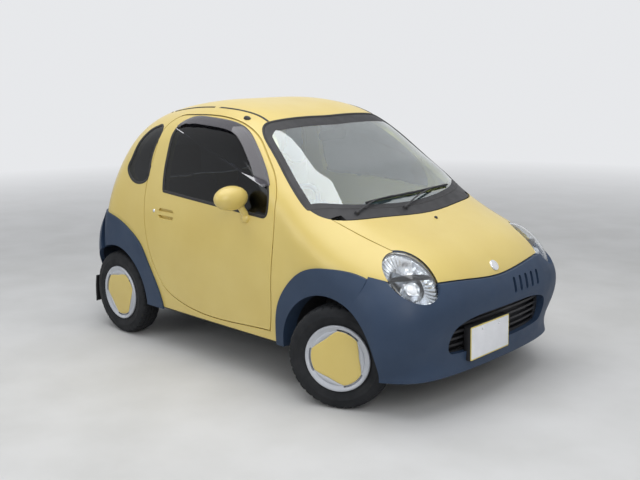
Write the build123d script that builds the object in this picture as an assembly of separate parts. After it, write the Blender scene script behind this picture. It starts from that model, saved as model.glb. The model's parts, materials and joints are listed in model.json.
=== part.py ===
from build123d import *
import math
import os

# A two-seat, three-door kei car, in mm. +X is forward, +Y is the car's left, the ground is
# z = 0 and x = 0 is the middle of the length. It stands parked with its front wheels turned left.

# Overall sizes
LENGTH = 2735.0
WIDTH = 1475.0
HEIGHT = 1450.0
WHEELBASE = 1800.0
FRONT_AXLE_X = 837.5
TRACK_FRONT = 1310.0
TRACK_REAR = 1290.0

# Walls, plates and clearances
SKIN = 24.0            # roof, bonnet, wings and tail, with their inner stiffeners
WALL = 45.0            # doors and body sides, outer skin to inner trim
GLASS_DEPTH = 4.0      # how far the glass lies under the body surface
GLASS = 5.0
TRIM_PROUD = 12.0      # arch trims and front bumper outside the body surface
CORNER_SWELL = 18.0    # what the bumper corners add to that
TAIL_PROUD = 55.0      # rear bumper outside the tail
SHUT = 6.0             # gap round doors, bonnet and hatch
SEAT = 0.3             # what lies between pieces that rest on each other
PLATE = 12.0           # floor and bulkhead, with their sound mats
RUNNING = 0.05         # radial clearance of a shaft in its bore

# Heights of the lower edges
SILL_Z = 255.0
BUMPER_Z = 195.0
FLOOR_Z = 226.0
REAR_FLOOR_Z = 470.0

# Wheels
TYRE_RADIUS = 260.0
TYRE_WIDTH = 135.0
BEAD_RADIUS = 152.0
COVER_RADIUS = 166.0
STUB_RADIUS = 15.0
HUB_RADIUS = 44.0
PARKED_STEER = 24.0    # degrees that the front wheels are turned to the left
KINGPIN_INSET = 70.0   # from the tyre's middle plane to the steering axis
KINGPIN_RADIUS = 9.0
KNUCKLE_LOW = 196.0
KNUCKLE_TOP = 558.0
AXLE_TUBE = 28.0
COVER_PLATE = 138.0    # radius of the cover's middle plate, outside which its slots lie
COVER_SLOT = 9.0
FRONT_ROLL = 23.0      # degrees that the wheels are turned about their axles at rest
REAR_ROLL = 50.0

# Wheel arches
ARCH_RADIUS = 305.0
ARCH_LIP = 3.7
LINER_FRONT = 330.0
LINER_REAR = 318.0
LINER = 5.0
FRONT_WELL_Y = 428.0   # inner wall of the front arch, clear of the tyre on full lock
REAR_WELL_Y = 552.0

# Headlamps and tail lamps: ellipsoids set into the corners
LAMP_CENTRE = (1158.0, 508.0, 641.0)
LAMP_NORMAL = (0.615, 0.398, 0.681)
LAMP_LONG = (0.768, -0.103, -0.632)
LAMP_HALF = (180.0, 130.0, 90.0)
LAMP_SPLIT = 30.0      # the lens starts this far out from the lamp's middle
LENS = 4.0
SOCKET_GAP = 2.0       # between the lens and the bumper's socket
SOCKET_FLARE = 0.16    # how fast the socket widens outwards
BOWL = 5.0
TAIL_CENTRE = (-1152.0, 505.0, 812.0)
TAIL_HALF = (48.0, 56.0, 74.0)

# Hinges
DOOR_HINGE_X = 415.0
DOOR_HINGE_Y = 702.0
DOOR_HINGE_ZS = (430.0, 745.0)
DOOR_TAPER = 0.00027   # how fast the doorway widens outwards, for each mm from the hinge
PIN = 5.0
BONNET_HINGE_X = 755.0
BONNET_HINGE_Z = 883.0
BONNET_PIN = 4.0
BONNET_SWEEP = 35.0    # reach of the bonnet's rear corners about their hinge, with clearance
HATCH_HINGE_X = -871.0
HATCH_HINGE_Z = 1357.0
HATCH_HINGE_Y = 250.0
HATCH_PIN = 4.0

# Grille and slots in the front bumper
SLOT_COUNT = 5
SLOT_PITCH = 56.0
SLOT_WIDTH = 21.0
SLOT_FIRST_Y = 88.0
BAR_COUNT = 4

# Cabin
STEERING_Y = 330.0     # right-hand drive: this far to the right of the middle
STEERING_CENTRE = (215.0, 838.0)
STEERING_TILT = 26.0
STEERING_RADIUS = 182.0
STEERING_TUBE = 14.0
SHAFT = 12.0
SEAT_Y = 330.0
SEAT_WIDTH = 470.0
FLOOR_FRONT = 552.0
DASH_FRONT = 640.0

# Exhaust
PIPE = 20.0
TAIL_PIPE = 17.0
TAIL_PIPE_Y = 180.0
SILENCER = 60.0

# Door mirrors
MIRROR_CENTRE = (243.0, 795.0, 985.0)
MIRROR_HALF = (63.0, 101.0)
MIRROR_FOOT_R = 25.0
MIRROR_BACK = 0.55     # how far behind its middle the shell is cut flat, as a share of its radius
MIRROR_STALK = 18.0
MIRROR_FOOT = (246.0, 701.0, 869.0)

# The styling curves are drawn at these sizes and stretched to the ones above
DRAWN_FRONT = 1355.5
DRAWN_REAR = 1312.5
DRAWN_HALF_WIDTH = 725.5
DRAWN_HEIGHT = 1450.0


def sx(x):
    if x > 0:
        return x * (LENGTH / 2 - TRIM_PROUD) / DRAWN_FRONT
    return x * (LENGTH / 2 - TAIL_PROUD) / DRAWN_REAR


def sy(y):
    return y * (WIDTH / 2 - TRIM_PROUD) / DRAWN_HALF_WIDTH


def sz(z):
    return z * HEIGHT / DRAWN_HEIGHT


# Body surface: sections fanned round two points on the ground, one under the dashboard and
# one under the seats, follow the centre line from the front apron over the roof to the tail

CENTRE_LINE = [(1285, 100), (1325, 220), (1350, 330), (1355.5, 450), (1350, 560), (1340, 640), (1250, 712),
               (1100, 800), (930, 872), (760, 945), (560, 1090), (350, 1240), (170, 1357), (-20, 1420),
               (-250, 1448.5), (-500, 1437), (-720, 1404), (-900, 1335), (-1020, 1225), (-1110, 1080),
               (-1180, 920), (-1235, 760), (-1272, 640), (-1300, 540), (-1312.5, 420), (-1300, 300),
               (-1275, 200), (-1240, 100)]
SIDE_LINE = [(0, 690), (150, 700), (300, 716), (500, 725.5), (700, 722), (850, 706), (1000, 675),
             (1200, 628), (1450, 560)]
PLAN_TAPER = 14.0
PIVOTS = (-620.0, 640.0)
SIDE_FOOT = 150.0
SECTIONS = 21
ROUND_SHARE = 0.62
SECTION_STEPS = [0, .1, .2, .3, .38, .46, .54, .62, .74, .87, 1]

centre_curve = Spline(*[Vector(sx(x), 0, sz(z)) for x, z in CENTRE_LINE])


def smooth_curve(points, at):
    """Height at one place of a curve through the points that never overshoots them."""
    steps = [b[0] - a[0] for a, b in zip(points, points[1:])]
    slopes = [(b[1] - a[1]) / step for a, b, step in zip(points, points[1:], steps)]
    tangents = [slopes[0]]
    for before, after in zip(slopes, slopes[1:]):
        tangents.append(0 if before * after <= 0 else 2 * before * after / (before + after))
    tangents.append(slopes[-1])
    at = min(max(at, points[0][0]), points[-1][0])
    i = max(k for k in range(len(steps)) if points[k][0] <= at)
    t, h = (at - points[i][0]) / steps[i], steps[i]
    return (points[i][1] * (1 + 2 * t) * (1 - t) ** 2 + points[i + 1][1] * t * t * (3 - 2 * t)
            + h * (tangents[i] * t * (1 - t) ** 2 + tangents[i + 1] * t * t * (t - 1)))


def half_width(x, z):
    drawn_z = z * DRAWN_HEIGHT / HEIGHT
    return sy(smooth_curve(SIDE_LINE, drawn_z) - PLAN_TAPER * (x / 1200.0) ** 2)


def section_plane(u):
    on_curve = centre_curve @ u
    pivot = min(max(on_curve.X, sx(PIVOTS[0])), sx(PIVOTS[1]))
    spoke = Vector(on_curve.X - pivot, 0, on_curve.Z)
    return Vector(pivot, 0, 0), spoke.normalized(), spoke.length


def surface_point(u, v):
    """Point of the right half: v is 0 at the centre line and 1 at the foot of the side."""
    pivot, spoke, reach = section_plane(u)
    lean = spoke.X * spoke.X
    depth = 250 + 170 * lean
    squareness = 4.6 - 1.4 * lean if spoke.X >= 0 else 4.2 - 1.2 * lean
    if v < ROUND_SHARE:
        angle = v / ROUND_SHARE * math.pi / 2
        drop, out = math.cos(angle) ** (2 / 2.2), math.sin(angle) ** (2 / squareness)
    else:
        drop, out = -(v - ROUND_SHARE) / (1 - ROUND_SHARE) * (reach - depth - SIDE_FOOT) / depth, 1.0
    point = pivot + spoke * (reach - depth + depth * drop)
    return Vector(point.X, -half_width(point.X, point.Z) * out, point.Z)


def section_points(u, depth):
    """Half section that lies the given depth under the body surface, or outside it if below 0."""
    pivot, spoke, _ = section_plane(u)
    step = 1e-3
    points = []
    for v in SECTION_STEPS:
        point = surface_point(u, v)
        along = surface_point(min(u + step, 1), v) - surface_point(max(u - step, 0), v)
        down = Vector(0, -1, 0)
        if v:
            down = surface_point(u, min(v + step, 1)) - surface_point(u, max(v - step, 0))
        normal = along.cross(down).normalized()
        inward = spoke * -1 if v == 0 else down.normalized().cross(Vector(0, 1, 0).cross(spoke)).normalized()
        if inward.dot(pivot + Vector(0, 0, 300) - point) < 0:
            inward = inward * -1
        offset = depth(point) if callable(depth) else depth
        points.append(point + inward * (offset / max(abs(normal.dot(inward)), 0.35)))
    return points


def shared_parameters(sections):
    """Mean place of each point along its section, so that all sections get the same knots."""
    totals = [0.0] * len(sections[0])
    for points in sections:
        reach = [0.0]
        for a, b in zip(points, points[1:]):
            reach.append(reach[-1] + (b - a).length)
        totals = [total + at / reach[-1] / len(sections) for total, at in zip(totals, reach)]
    return totals


def body_form(depth, first=0.0, last=1.0, count=SECTIONS):
    """Solid inside the body surface, or inside one that lies parallel to it."""
    sections = []
    for i in range(count):
        right = section_points(first + (last - first) * i / (count - 1), depth)[::-1]
        sections.append(right + [Vector(p.X, -p.Y, p.Z) for p in right[-2::-1]])
    shares = shared_parameters(sections)
    wires = []
    for points in sections:
        crown = Edge.make_spline(points, parameters=shares)
        wires.append(Wire([crown, Edge.make_line(points[-1], points[0])]))
    return Solid.make_loft(wires)


def ease(value, low, high):
    t = min(max((value - low) / (high - low), 0), 1)
    return t * t * (3 - 2 * t)


def front_swell(p):
    """Depth of the front bumper's surface: flush at the bonnet, swollen at the corners."""
    corner = ease(abs(p.Y), sy(330), sy(640))
    low = 1 - ease(p.Z, sz(500), sz(680))
    proud = TRIM_PROUD * max(corner, 1 - ease(p.Z, sz(520), sz(640)))
    return -proud - CORNER_SWELL * corner * low * ease(p.X, sx(980), sx(1180)) - SEAT


def rear_swell(p):
    """Depth of the rear bumper's surface: it grows out of the arch trims to a ledge."""
    low = 1 - ease(p.Z, sz(640), sz(775))
    return -TRIM_PROUD - (TAIL_PROUD - TRIM_PROUD) * low * ease(-p.X, sx(1000), sx(1230)) - SEAT


# Outlines are runs of (a, b) points: two points make a line, more make a smooth curve

def grown(runs, gap):
    """The same outline moved outwards by the gap, or inwards if it is below 0."""
    points = [p for run in runs for p in run[:-1]]
    area = sum(a[0] * b[1] - b[0] * a[1] for a, b in zip(points, points[1:] + points[:1]))
    side = 1 if area > 0 else -1

    def normal(a, b):
        length = math.hypot(b[0] - a[0], b[1] - a[1])
        return side * (b[1] - a[1]) / length, -side * (b[0] - a[0]) / length

    def moved(point, before, after):
        n1, n2 = normal(before, point), normal(point, after)
        share = gap / max(1 + n1[0] * n2[0] + n1[1] * n2[1], 0.4)
        return point[0] + (n1[0] + n2[0]) * share, point[1] + (n1[1] + n2[1]) * share

    result, k = [], 0
    count = len(points)
    for run in runs:
        result.append([moved(points[j % count], points[j % count - 1], points[(j + 1) % count])
                       for j in range(k, k + len(run))])
        k += len(run) - 1
    return result


def run_edges(runs, place):
    edges = []
    for run in runs:
        points = [place(a, b) for a, b in run]
        edges.append(Edge.make_line(*points) if len(points) == 2 else Edge.make_spline(points))
    return edges


def prism(runs, place, travel):
    """Solid swept by the outline, which place() puts in space, along the travel vector."""
    return Solid.extrude(Face(Wire(run_edges(runs, place))), Vector(*travel))


def side_prism(runs, inner=0.0, outer=900.0):
    """Right-hand solid of an outline drawn in side view."""
    return prism(runs, lambda a, b: Vector(a, -inner, b), (0, inner - outer, 0))


def plan_prism(runs, low, high):
    return prism(runs, lambda a, b: Vector(a, b, low), (0, 0, high - low))


def end_prism(runs, start, stop):
    return prism(runs, lambda a, b: Vector(start, a, b), (stop - start, 0, 0))


def scaled(points, first=sx, second=sz):
    return [(first(a), second(b)) for a, b in points]


def both_sides(points):
    """A run from the right edge to the left one, from the points of its left half."""
    return [(a, -b) for a, b in reversed(points)] + [p for p in points if p[1] > 0]


def box(x0, x1, y0, y1, z0, z1):
    return Pos((x0 + x1) / 2, (y0 + y1) / 2, (z0 + z1) / 2) * Box(x1 - x0, y1 - y0, z1 - z0)


def bar(start, end, radius):
    """Round bar from one point to another."""
    start, end = Vector(*start), Vector(*end)
    return Solid.make_cylinder(radius, (end - start).length, Plane(origin=start, z_dir=end - start))


def across(x, z, radius, y0, y1):
    return bar((x, y0, z), (x, y1, z), radius)


def mirrored(shape):
    return mirror(shape, Plane.XZ)


def solids_of(*shapes):
    return [solid for shape in shapes for solid in shape.solids()]


def biggest(shape):
    """The largest solid of a cut, without the slivers that it may leave."""
    return max(shape.solids(), key=lambda solid: solid.volume)


def save(name, *shapes):
    solids = solids_of(*shapes)
    export_step(solids[0] if len(solids) == 1 else Compound(children=solids), f"parts/{name}.step")


# Lines of the body, as seen in plan, in side view and from the ends

SCREEN_TOP = both_sides(scaled([(165, 0), (162, 117), (154, 332), (140, 420)], sx, sy))
SCREEN_SIDE = scaled([(140, 420), (146, 470), (176, 500), (300, 546), (406, 577), (536, 612), (602, 620),
                      (663, 611), (735, 576)], sx, sy)
BONNET_REAR = both_sides(scaled([(890, 0), (884, 124), (855, 318), (800, 492), (735, 576)], sx, sy))
GLASS_FOOT = both_sides(scaled([(814, 0), (806, 150), (770, 351), (717, 484), (634, 603),
                                (600, 660)], sx, sy))
SCREEN_ZONE = [SCREEN_TOP, SCREEN_SIDE, BONNET_REAR[::-1], [(a, -b) for a, b in reversed(SCREEN_SIDE)]]
BONNET_SIDE = scaled([(735, 576), (864, 548), (990, 524), (1077, 504)], sx, sy)
BONNET_NOSE = sx(1420)
BONNET_ZONE = [BONNET_REAR, BONNET_SIDE, [BONNET_SIDE[-1], (BONNET_NOSE, sy(480))],
               [(BONNET_NOSE, sy(480)), (BONNET_NOSE, -sy(480))],
               [(BONNET_NOSE, -sy(480)), (BONNET_SIDE[-1][0], -BONNET_SIDE[-1][1])],
               [(a, -b) for a, b in reversed(BONNET_SIDE)]]
ROOF_EDGE = scaled([(300, 430), (141, 427), (49, 424), (-62, 428), (-195, 434), (-375, 438), (-544, 434),
                    (-720, 424), (-1000, 400)], sx, sy)
ROOF_ZONE = [ROOF_EDGE, [ROOF_EDGE[-1], (ROOF_EDGE[-1][0], -ROOF_EDGE[-1][1])],
             [(a, -b) for a, b in reversed(ROOF_EDGE)], [(ROOF_EDGE[0][0], -ROOF_EDGE[0][1]), ROOF_EDGE[0]]]

DOOR_FRONT = [(421, 714, 307), (435, 718, 367), (448, 723, 582), (458, 711, 799), (442, 670, 984)]
DOOR_TOP = [(442, 670, 984), (387, 624, 1084), (306, 587, 1166), (192, 543, 1262), (62, 520, 1325),
            (-122, 508, 1363), (-313, 511, 1370), (-435, 512, 1366), (-540, 522, 1348), (-590, 556, 1300),
            (-606, 610, 1208), (-632, 654, 1086), (-655, 682, 965), (-660, 704, 850), (-642, 714, 730),
            (-604, 721, 584), (-540, 721, 466), (-477, 719, 388), (-401, 717, 344)]
DOOR_FOOT = [(-401, 717, 344), (-211, 714, 298), (84, 714, 289), (421, 714, 307)]
DOOR_WINDOW = [[(359, 890), (-14, 912), (-487, 941)], [(-487, 941), (-497, 1036), (-489, 1214), (-478, 1284),
               (-430, 1328), (-225, 1351), (-43, 1335), (69, 1306), (194, 1227), (301, 1128), (378, 1020),
               (396, 930), (390, 900), (359, 890)]]
QUARTER_WINDOW = [[(-684, 1292), (-640, 1298), (-616, 1280), (-622, 1208), (-648, 1086), (-666, 990),
                   (-690, 976), (-852, 1007), (-872, 1043), (-850, 1095), (-815, 1183), (-756, 1259),
                   (-684, 1292)]]
HATCH_HALF = [(0, 1350), (260, 1345), (400, 1314), (470, 1240), (518, 1120), (548, 1000), (535, 935),
              (480, 914), (250, 906), (0, 904)]
WING_LINE = [(442, 984), (521, 990), (600, 1100)]
FRONT_TRIM = [(-360, -60), (-359, 2), (-353, 106), (-333, 200), (-269, 309), (-136, 411), (7, 436),
              (153, 429),
              (216, 412)]
FRONT_TRIM_SEAM = [(216, 412), (214, 390), (154, 279), (130, 230)]
REAR_TRIM = [(461, -60), (459, 6), (420, 116), (351, 234), (273, 350), (139, 434), (-34, 491), (-172, 505)]
REAR_TRIM_SEAM = [(-172, 505), (-160, 400), (-150, 266), (-130, 230)]
FRONT_BUMPER_TOP = both_sides([(616, 0), (631, 213), (645, 412), (672, 637), (689, 676), (700, 760)])
REAR_BUMPER_TOP = both_sides([(700, 0), (716, 470), (745, 620), (765, 700), (772, 760)])


def mouth_runs():
    top = [(-415, 395), (-395, 428), (-340, 452), (-123, 469), (123, 469), (340, 452), (395, 428),
           (415, 395)]
    end = [(415, 395), (420, 350), (405, 315), (385, 302)]
    foot = [(385, 302), (287, 295), (0, 292), (-287, 295), (-385, 302)]
    back = [(-a, b) for a, b in reversed(end)]
    return [scaled(run, sy, sz) for run in (top, end, foot, back)]


def bumper_zone(top, x_far, seam, axle_x):
    """Space of a bumper: under its top edge and beyond its seam with the arch trim."""
    top = [(sy(b), sz(a)) for a, b in top]
    corners = [top[-1], (top[-1][0], 0.0), (top[0][0], 0.0), top[0]]
    under = end_prism([top, *[list(pair) for pair in zip(corners, corners[1:])]], axle_x, x_far)
    seam = [(axle_x + a, TYRE_RADIUS + b) for a, b in seam]
    corners = [seam[0], (seam[0][0], sz(900)), (x_far, sz(900)), (x_far, 0.0), (seam[-1][0], 0.0), seam[-1]]
    runs = [list(pair) for pair in zip(corners, corners[1:])] + [seam[::-1]]
    return under & prism(runs, lambda a, b: Vector(a, -900, b), (0, 1800, 0))


def trim_runs(outer, seam, axle_x):
    """Outline of an arch trim, drawn about its axle."""
    place = [[(axle_x + a, TYRE_RADIUS + b) for a, b in run] for run in (outer, seam)]
    return [*place, [place[1][-1], (axle_x, TYRE_RADIUS - 200)], [(axle_x, TYRE_RADIUS - 200), place[0][0]]]


def door_runs(gap, y):
    """The doorway's outline in the plane that lies y from the middle, with the given gap round it."""
    def scale_at(depth):
        return 1 + DOOR_TAPER * (depth - DOOR_HINGE_Y)

    def at_hinge_plane(points):
        return [(DOOR_HINGE_X + (sx(a) - DOOR_HINGE_X) / scale_at(sy(b)), sz(c)) for a, b, c in points]

    runs = grown([at_hinge_plane(run) for run in (DOOR_FRONT, DOOR_TOP, DOOR_FOOT)], gap)
    return [[(DOOR_HINGE_X + (a - DOOR_HINGE_X) * scale_at(y), b) for a, b in run] for run in runs]


def door_plug(gap):
    """Right-hand plug that cuts the door, or with a gap the doorway."""
    wires = [Wire(run_edges(door_runs(gap, y), lambda a, b: Vector(a, -y, b))) for y in (300.0, 850.0)]
    return Solid.make_loft(wires, ruled=True)


def lamp_plane():
    """Middle plane of the right headlamp: its X axis runs down the lamp and Z looks out of it."""
    centre = Vector(sx(LAMP_CENTRE[0]), -sy(LAMP_CENTRE[1]), sz(LAMP_CENTRE[2]))
    return Plane(origin=centre, x_dir=Vector(LAMP_LONG[0], -LAMP_LONG[1], LAMP_LONG[2]),
                 z_dir=Vector(LAMP_NORMAL[0], -LAMP_NORMAL[1], LAMP_NORMAL[2]))


def lamp_form(grow):
    """Right-hand headlamp ellipsoid, grown on all sides."""
    return lamp_plane().location * scale(Sphere(1), tuple(half + grow for half in LAMP_HALF))


def lamp_socket():
    """Room ahead of the right headlamp: an ellipse about its outline that widens outwards."""
    out = LAMP_SPLIT * 1.5
    share = math.sqrt(1 - (out / LAMP_HALF[2]) ** 2)
    wires = []
    for travel in (0.0, 160.0):
        a, b = (half * share + SOCKET_GAP + travel * SOCKET_FLARE for half in LAMP_HALF[:2])
        turns = [k * math.pi / 8 for k in range(16)]
        points = [Vector(a * math.cos(turn), b * math.sin(turn), out + travel) for turn in turns]
        wires.append(Wire([Edge.make_spline(points, periodic=True)]))
    return lamp_plane().location * Solid.make_loft(wires, ruled=True)


def egg_shell(half_sizes, low, high, wall):
    """Hollow ellipsoid between two heights, given as shares of its last half size."""
    inside = 1 - wall / half_sizes[2]

    def arc(radius):
        heights = [min(max(low + (high - low) * i / 8, -radius), radius) for i in range(9)]
        return [Vector(math.sqrt(max(radius * radius - h * h, 0)), 0, h) for h in heights]

    outer, inner = arc(1.0), arc(inside)
    edges = [Edge.make_spline(outer), Edge.make_spline(inner)]
    edges += [Edge.make_line(outer[0], inner[0]), Edge.make_line(outer[-1], inner[-1])]
    return scale(revolve(Face(Wire(edges)), Axis.Z), half_sizes)


def tail_form(grow):
    centre = Pos(sx(TAIL_CENTRE[0]), -sy(TAIL_CENTRE[1]), sz(TAIL_CENTRE[2]))
    return centre * scale(Sphere(1), tuple(half + grow for half in TAIL_HALF))


def wheel_well(axle_x, radius, y0=0.0, y1=900.0):
    return across(axle_x, TYRE_RADIUS, radius, -y0, -y1)


def door_sweep():
    """Room that the door's front edge sweeps as it turns about its hinge."""
    reach = [(math.hypot(sx(x) - DOOR_HINGE_X, sy(y) - DOOR_HINGE_Y) + SHUT - 0.6, sz(z))
             for x, y, z in DOOR_FRONT[:4]]
    top, low = reach[-1][1] + 50, reach[0][1] - SHUT
    corners = [reach[-1], (reach[-1][0], top), (0.0, top), (0.0, low), (reach[0][0], low), reach[0]]
    runs = [reach, *[list(pair) for pair in zip(corners, corners[1:])]]
    section = Face(Wire(run_edges(runs, lambda a, b: Vector(a, 0, b))))
    return Pos(DOOR_HINGE_X, -DOOR_HINGE_Y, 0) * revolve(section, Axis.Z)


def wing_zone():
    """Right-hand space ahead of the door's front edge and under the wing's top seam."""
    edge = scaled([(x, z) for x, _, z in DOOR_FRONT])
    rear = [edge[-1], (edge[-1][0] - 900, edge[-1][1]), (edge[0][0] - 900, edge[0][1]), edge[0]]
    front = grown([edge, *[list(pair) for pair in zip(rear, rear[1:])]], SHUT)[0]
    front[-1] = (front[-1][0], edge[-1][1])
    line = scaled(WING_LINE)
    far = sx(1500)
    corners = [front[-1], line[1], line[2], (far, line[2][1]), (far, 0.0), (front[0][0], 0.0), front[0]]
    return side_prism([front, *[list(pair) for pair in zip(corners, corners[1:])]], 100)


def body_side():
    """Right body side: windscreen pillar, roof rail, doorway, sill, hinge pillar and rear quarter."""
    pillar_end = box(sx(560), BIG, -BIG, 0, 0, sz(1100))
    tail_edge = box(-BIG, sx(-900), -sy(470), 0, 0, sz(1000))
    side = wall_band & right_half
    for zone in (roof_zone, screen_zone, bonnet_zone, hatch_zone, nose_zone, tail_zone, front_arch,
                 rear_arch, door_gap, quarter_window, tail_lamp_hole, sill_zone,
                 wing_space - under_skin_seat, wing_space & pillar_end, tail_edge, door_relief):
        side = biggest(side - zone)
    return biggest(side + hinge_arms())


def hinge_arms():
    """Arms of the hinge pillar, which reach round the door's edge to its pins."""
    x, y = DOOR_HINGE_X, -DOOR_HINGE_Y
    arms = []
    for z in DOOR_HINGE_ZS:
        arm = box(x - 9, x + 9, y, y + 64, z - 9, z + 9) + box(x - 9, x + 100, y + 54, y + 70, z - 9, z + 9)
        arms.append(arm + box(x + 70, x + 100, y + 20, y + 70, z - 9, z + 9)
                    + bar((x, y, z - 30), (x, y, z + 30), PIN))
    return arms[0] + arms[1]


def door():
    """Right door: a thick shell with its window cut, pockets for the hinge arms and a handle."""
    shell = biggest(biggest(wall_band & door_plug(0.0)) - door_window)
    x, y = DOOR_HINGE_X, -DOOR_HINGE_Y
    for z in DOOR_HINGE_ZS:
        shell = shell - box(x - 13, x + 90, y - 10, y + 90, z - 15, z + 15)
        shell = shell - bar((x, y, z - 32), (x, y, z + 32), PIN + RUNNING)
    recess = box(sx(-514), sx(-370), -sy(760), -sy(694), sz(786), sz(843))
    recess = fillet(recess.edges().filter_by(Axis.Y), 18)
    grip = box(sx(-516), sx(-368), -sy(713), -sy(704), sz(804), sz(826))
    return biggest(biggest(shell) - (recess - grip))


def front_wing():
    """Right front wing, with the pin that the bonnet turns on."""
    wing = skin_band & wing_space
    for zone in (screen_zone, bonnet_zone, nose_zone, front_arch, lamp_hole, sill_zone, door_relief):
        wing = biggest(wing - zone)
    pin = across(BONNET_HINGE_X, BONNET_HINGE_Z, BONNET_PIN, -sy(584), -sy(548))
    return biggest(wing + pin)


def bonnet_relief():
    """Room behind the bonnet's rear corners, which swing back and down."""
    right = across(BONNET_HINGE_X, BONNET_HINGE_Z, BONNET_SWEEP, -sy(574), -sy(520))
    return [right, mirrored(right)]


def bonnet():
    panel = biggest(skin_band & bonnet_space)
    for zone in (Pos(0, 0, SHUT) * nose_zone, lamp_space, mirrored(lamp_space)):
        panel = biggest(panel - zone)
    for side in (-1, 1):
        panel = panel - across(BONNET_HINGE_X, BONNET_HINGE_Z, BONNET_PIN + RUNNING,
                               side * sy(546), side * sy(600))
    return biggest(panel)


def cowl_panel():
    panel = skin_band & screen_space & (Pos(SEAT, 0, 0) * glass_foot_zone)
    for zone in bonnet_relief():
        panel = panel - zone
    return biggest(panel)


def windshield():
    return biggest((glass_band & screen_space) - glass_foot_zone)


def hatch_hinges():
    """Lugs of the roof with their pins, the eyes of the hatch and the room that the lugs need."""
    x, z = HATCH_HINGE_X, HATCH_HINGE_Z
    lugs, eyes, rooms = [], [], []
    for y in (-HATCH_HINGE_Y, HATCH_HINGE_Y):
        lug = across(x, z, 8, y - 9, y + 9) + box(x, x + 38, y - 9, y + 9, z - 20, z + 4)
        lugs.append(lug + across(x, z, HATCH_PIN, y - 28, y + 28))
        for y0, y1 in ((y - 30, y - 10), (y + 10, y + 30)):
            eye = across(x, z, 8, y0, y1) + box(x - 40, x, y0, y1, z - 24, z + 2)
            eyes.append(eye - across(x, z, HATCH_PIN + RUNNING, y0, y1))
        rooms.append(box(x - 14, x + 80, y - 36, y + 36, z - 60, z + 40))
    return lugs, eyes, rooms


def roof_panel():
    lugs, _, _ = hatch_hinges()
    panel = biggest(skin_band & roof_space)
    eye_rooms = [across(HATCH_HINGE_X, HATCH_HINGE_Z, 9.5, y - 31, y + 31)
                 for y in (-HATCH_HINGE_Y, HATCH_HINGE_Y)]
    for zone in (screen_zone, hatch_zone, *eye_rooms):
        panel = biggest(panel - zone)
    return biggest(panel + lugs[0] + lugs[1])


def rear_hatch():
    """Glass hatch: one curved pane in a bonded frame, hung from two eyes at its top."""
    _, eyes, rooms = hatch_hinges()
    pane = biggest((skin_form & hatch_space) - glass_inner)
    for room in rooms:
        pane = pane - room
    for eye in eyes:
        pane = pane + eye
    return biggest(pane)


def rear_panel():
    half = sy(470) - SEAT
    panel = skin_band & box(-BIG, sx(-900), -half, half, 0, sz(1000))
    for zone in (hatch_zone, tail_zone, sill_zone, tail_lamp_hole, mirrored(tail_lamp_hole)):
        panel = biggest(panel - zone)
    return panel


def front_bumper():
    """Bumper shell with the cut-outs for wheels and lamps, the wide mouth and the upright slots."""
    shell = (nose_form - under_skin) & nose_zone
    socket = lamp_socket()
    for zone in (low_zone, front_opening, mirrored(front_opening), lamp_hole, mirrored(lamp_hole),
                 socket, mirrored(socket), mouth_zone):
        shell = biggest(shell - zone)
    for i in range(SLOT_COUNT):
        y = sy(SLOT_FIRST_Y) + i * SLOT_PITCH
        slot = box(sx(1200), BIG, y, y + SLOT_WIDTH, sz(512), sz(592))
        shell = shell - fillet(slot.edges().filter_by(Axis.X), SLOT_WIDTH / 2 - 0.5)
    return biggest(shell)


def lower_grille():
    """Grille with level bars behind the mouth, and the dark backing of the upright slots."""
    sheet = under_skin_seat - body_form(SKIN + 9)
    front = box(sx(900), BIG, -BIG, BIG, 0, BIG)
    mouth = sheet & end_prism(grown(mouth_runs(), 12), sx(900), BIG)
    low, high = sz(300), sz(462)
    pitch = (high - low) / (BAR_COUNT + 1)
    for i in range(BAR_COUNT + 1):
        gap = box(sx(900), BIG, -sy(380), sy(380), low + i * pitch + 6, low + (i + 1) * pitch - 6)
        mouth = mouth - gap
    width = (SLOT_COUNT - 1) * SLOT_PITCH + SLOT_WIDTH
    first = sy(SLOT_FIRST_Y)
    backing = sheet & box(sx(900), BIG, first - 12, first + width + 12, sz(500), sz(604))
    return [biggest(mouth & front), biggest(backing)]


def rear_bumper():
    shell = (tail_form_outer & tail_zone) - tail_inner
    for zone in (low_zone, rear_opening, mirrored(rear_opening)):
        shell = biggest(shell - zone)
    return shell


def arch_trim(outer, seam, axle_x):
    """Right arch trim: a plate on the wing with a lip that lines the arch."""
    zone = side_prism(trim_runs(outer, seam, axle_x), 600)
    opening = wheel_well(axle_x, ARCH_RADIUS, 300)
    plate = (trim_band & zone) - opening
    lip = ((wheel_well(axle_x, ARCH_RADIUS + ARCH_LIP, 640) - opening) & zone) & trim_outer
    return biggest((biggest(plate) + biggest(lip)) - box(-BIG, BIG, -BIG, BIG, -100, SILL_Z - 12))


def pane(runs):
    """Right side glass in the given opening."""
    return biggest(glass_band & side_prism(grown([scaled(run) for run in runs], -SEAT), 200))


def headlamp():
    """Bowl and lens of the right headlamp, which meet in one plane."""
    split = LAMP_SPLIT / LAMP_HALF[2]
    place = lamp_plane().location
    return place * egg_shell(LAMP_HALF, -1.0, split, BOWL), place * egg_shell(LAMP_HALF, split, 1.0, LENS)


def tail_lamp():
    return biggest(tail_form(0) - cabin_form)


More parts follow.
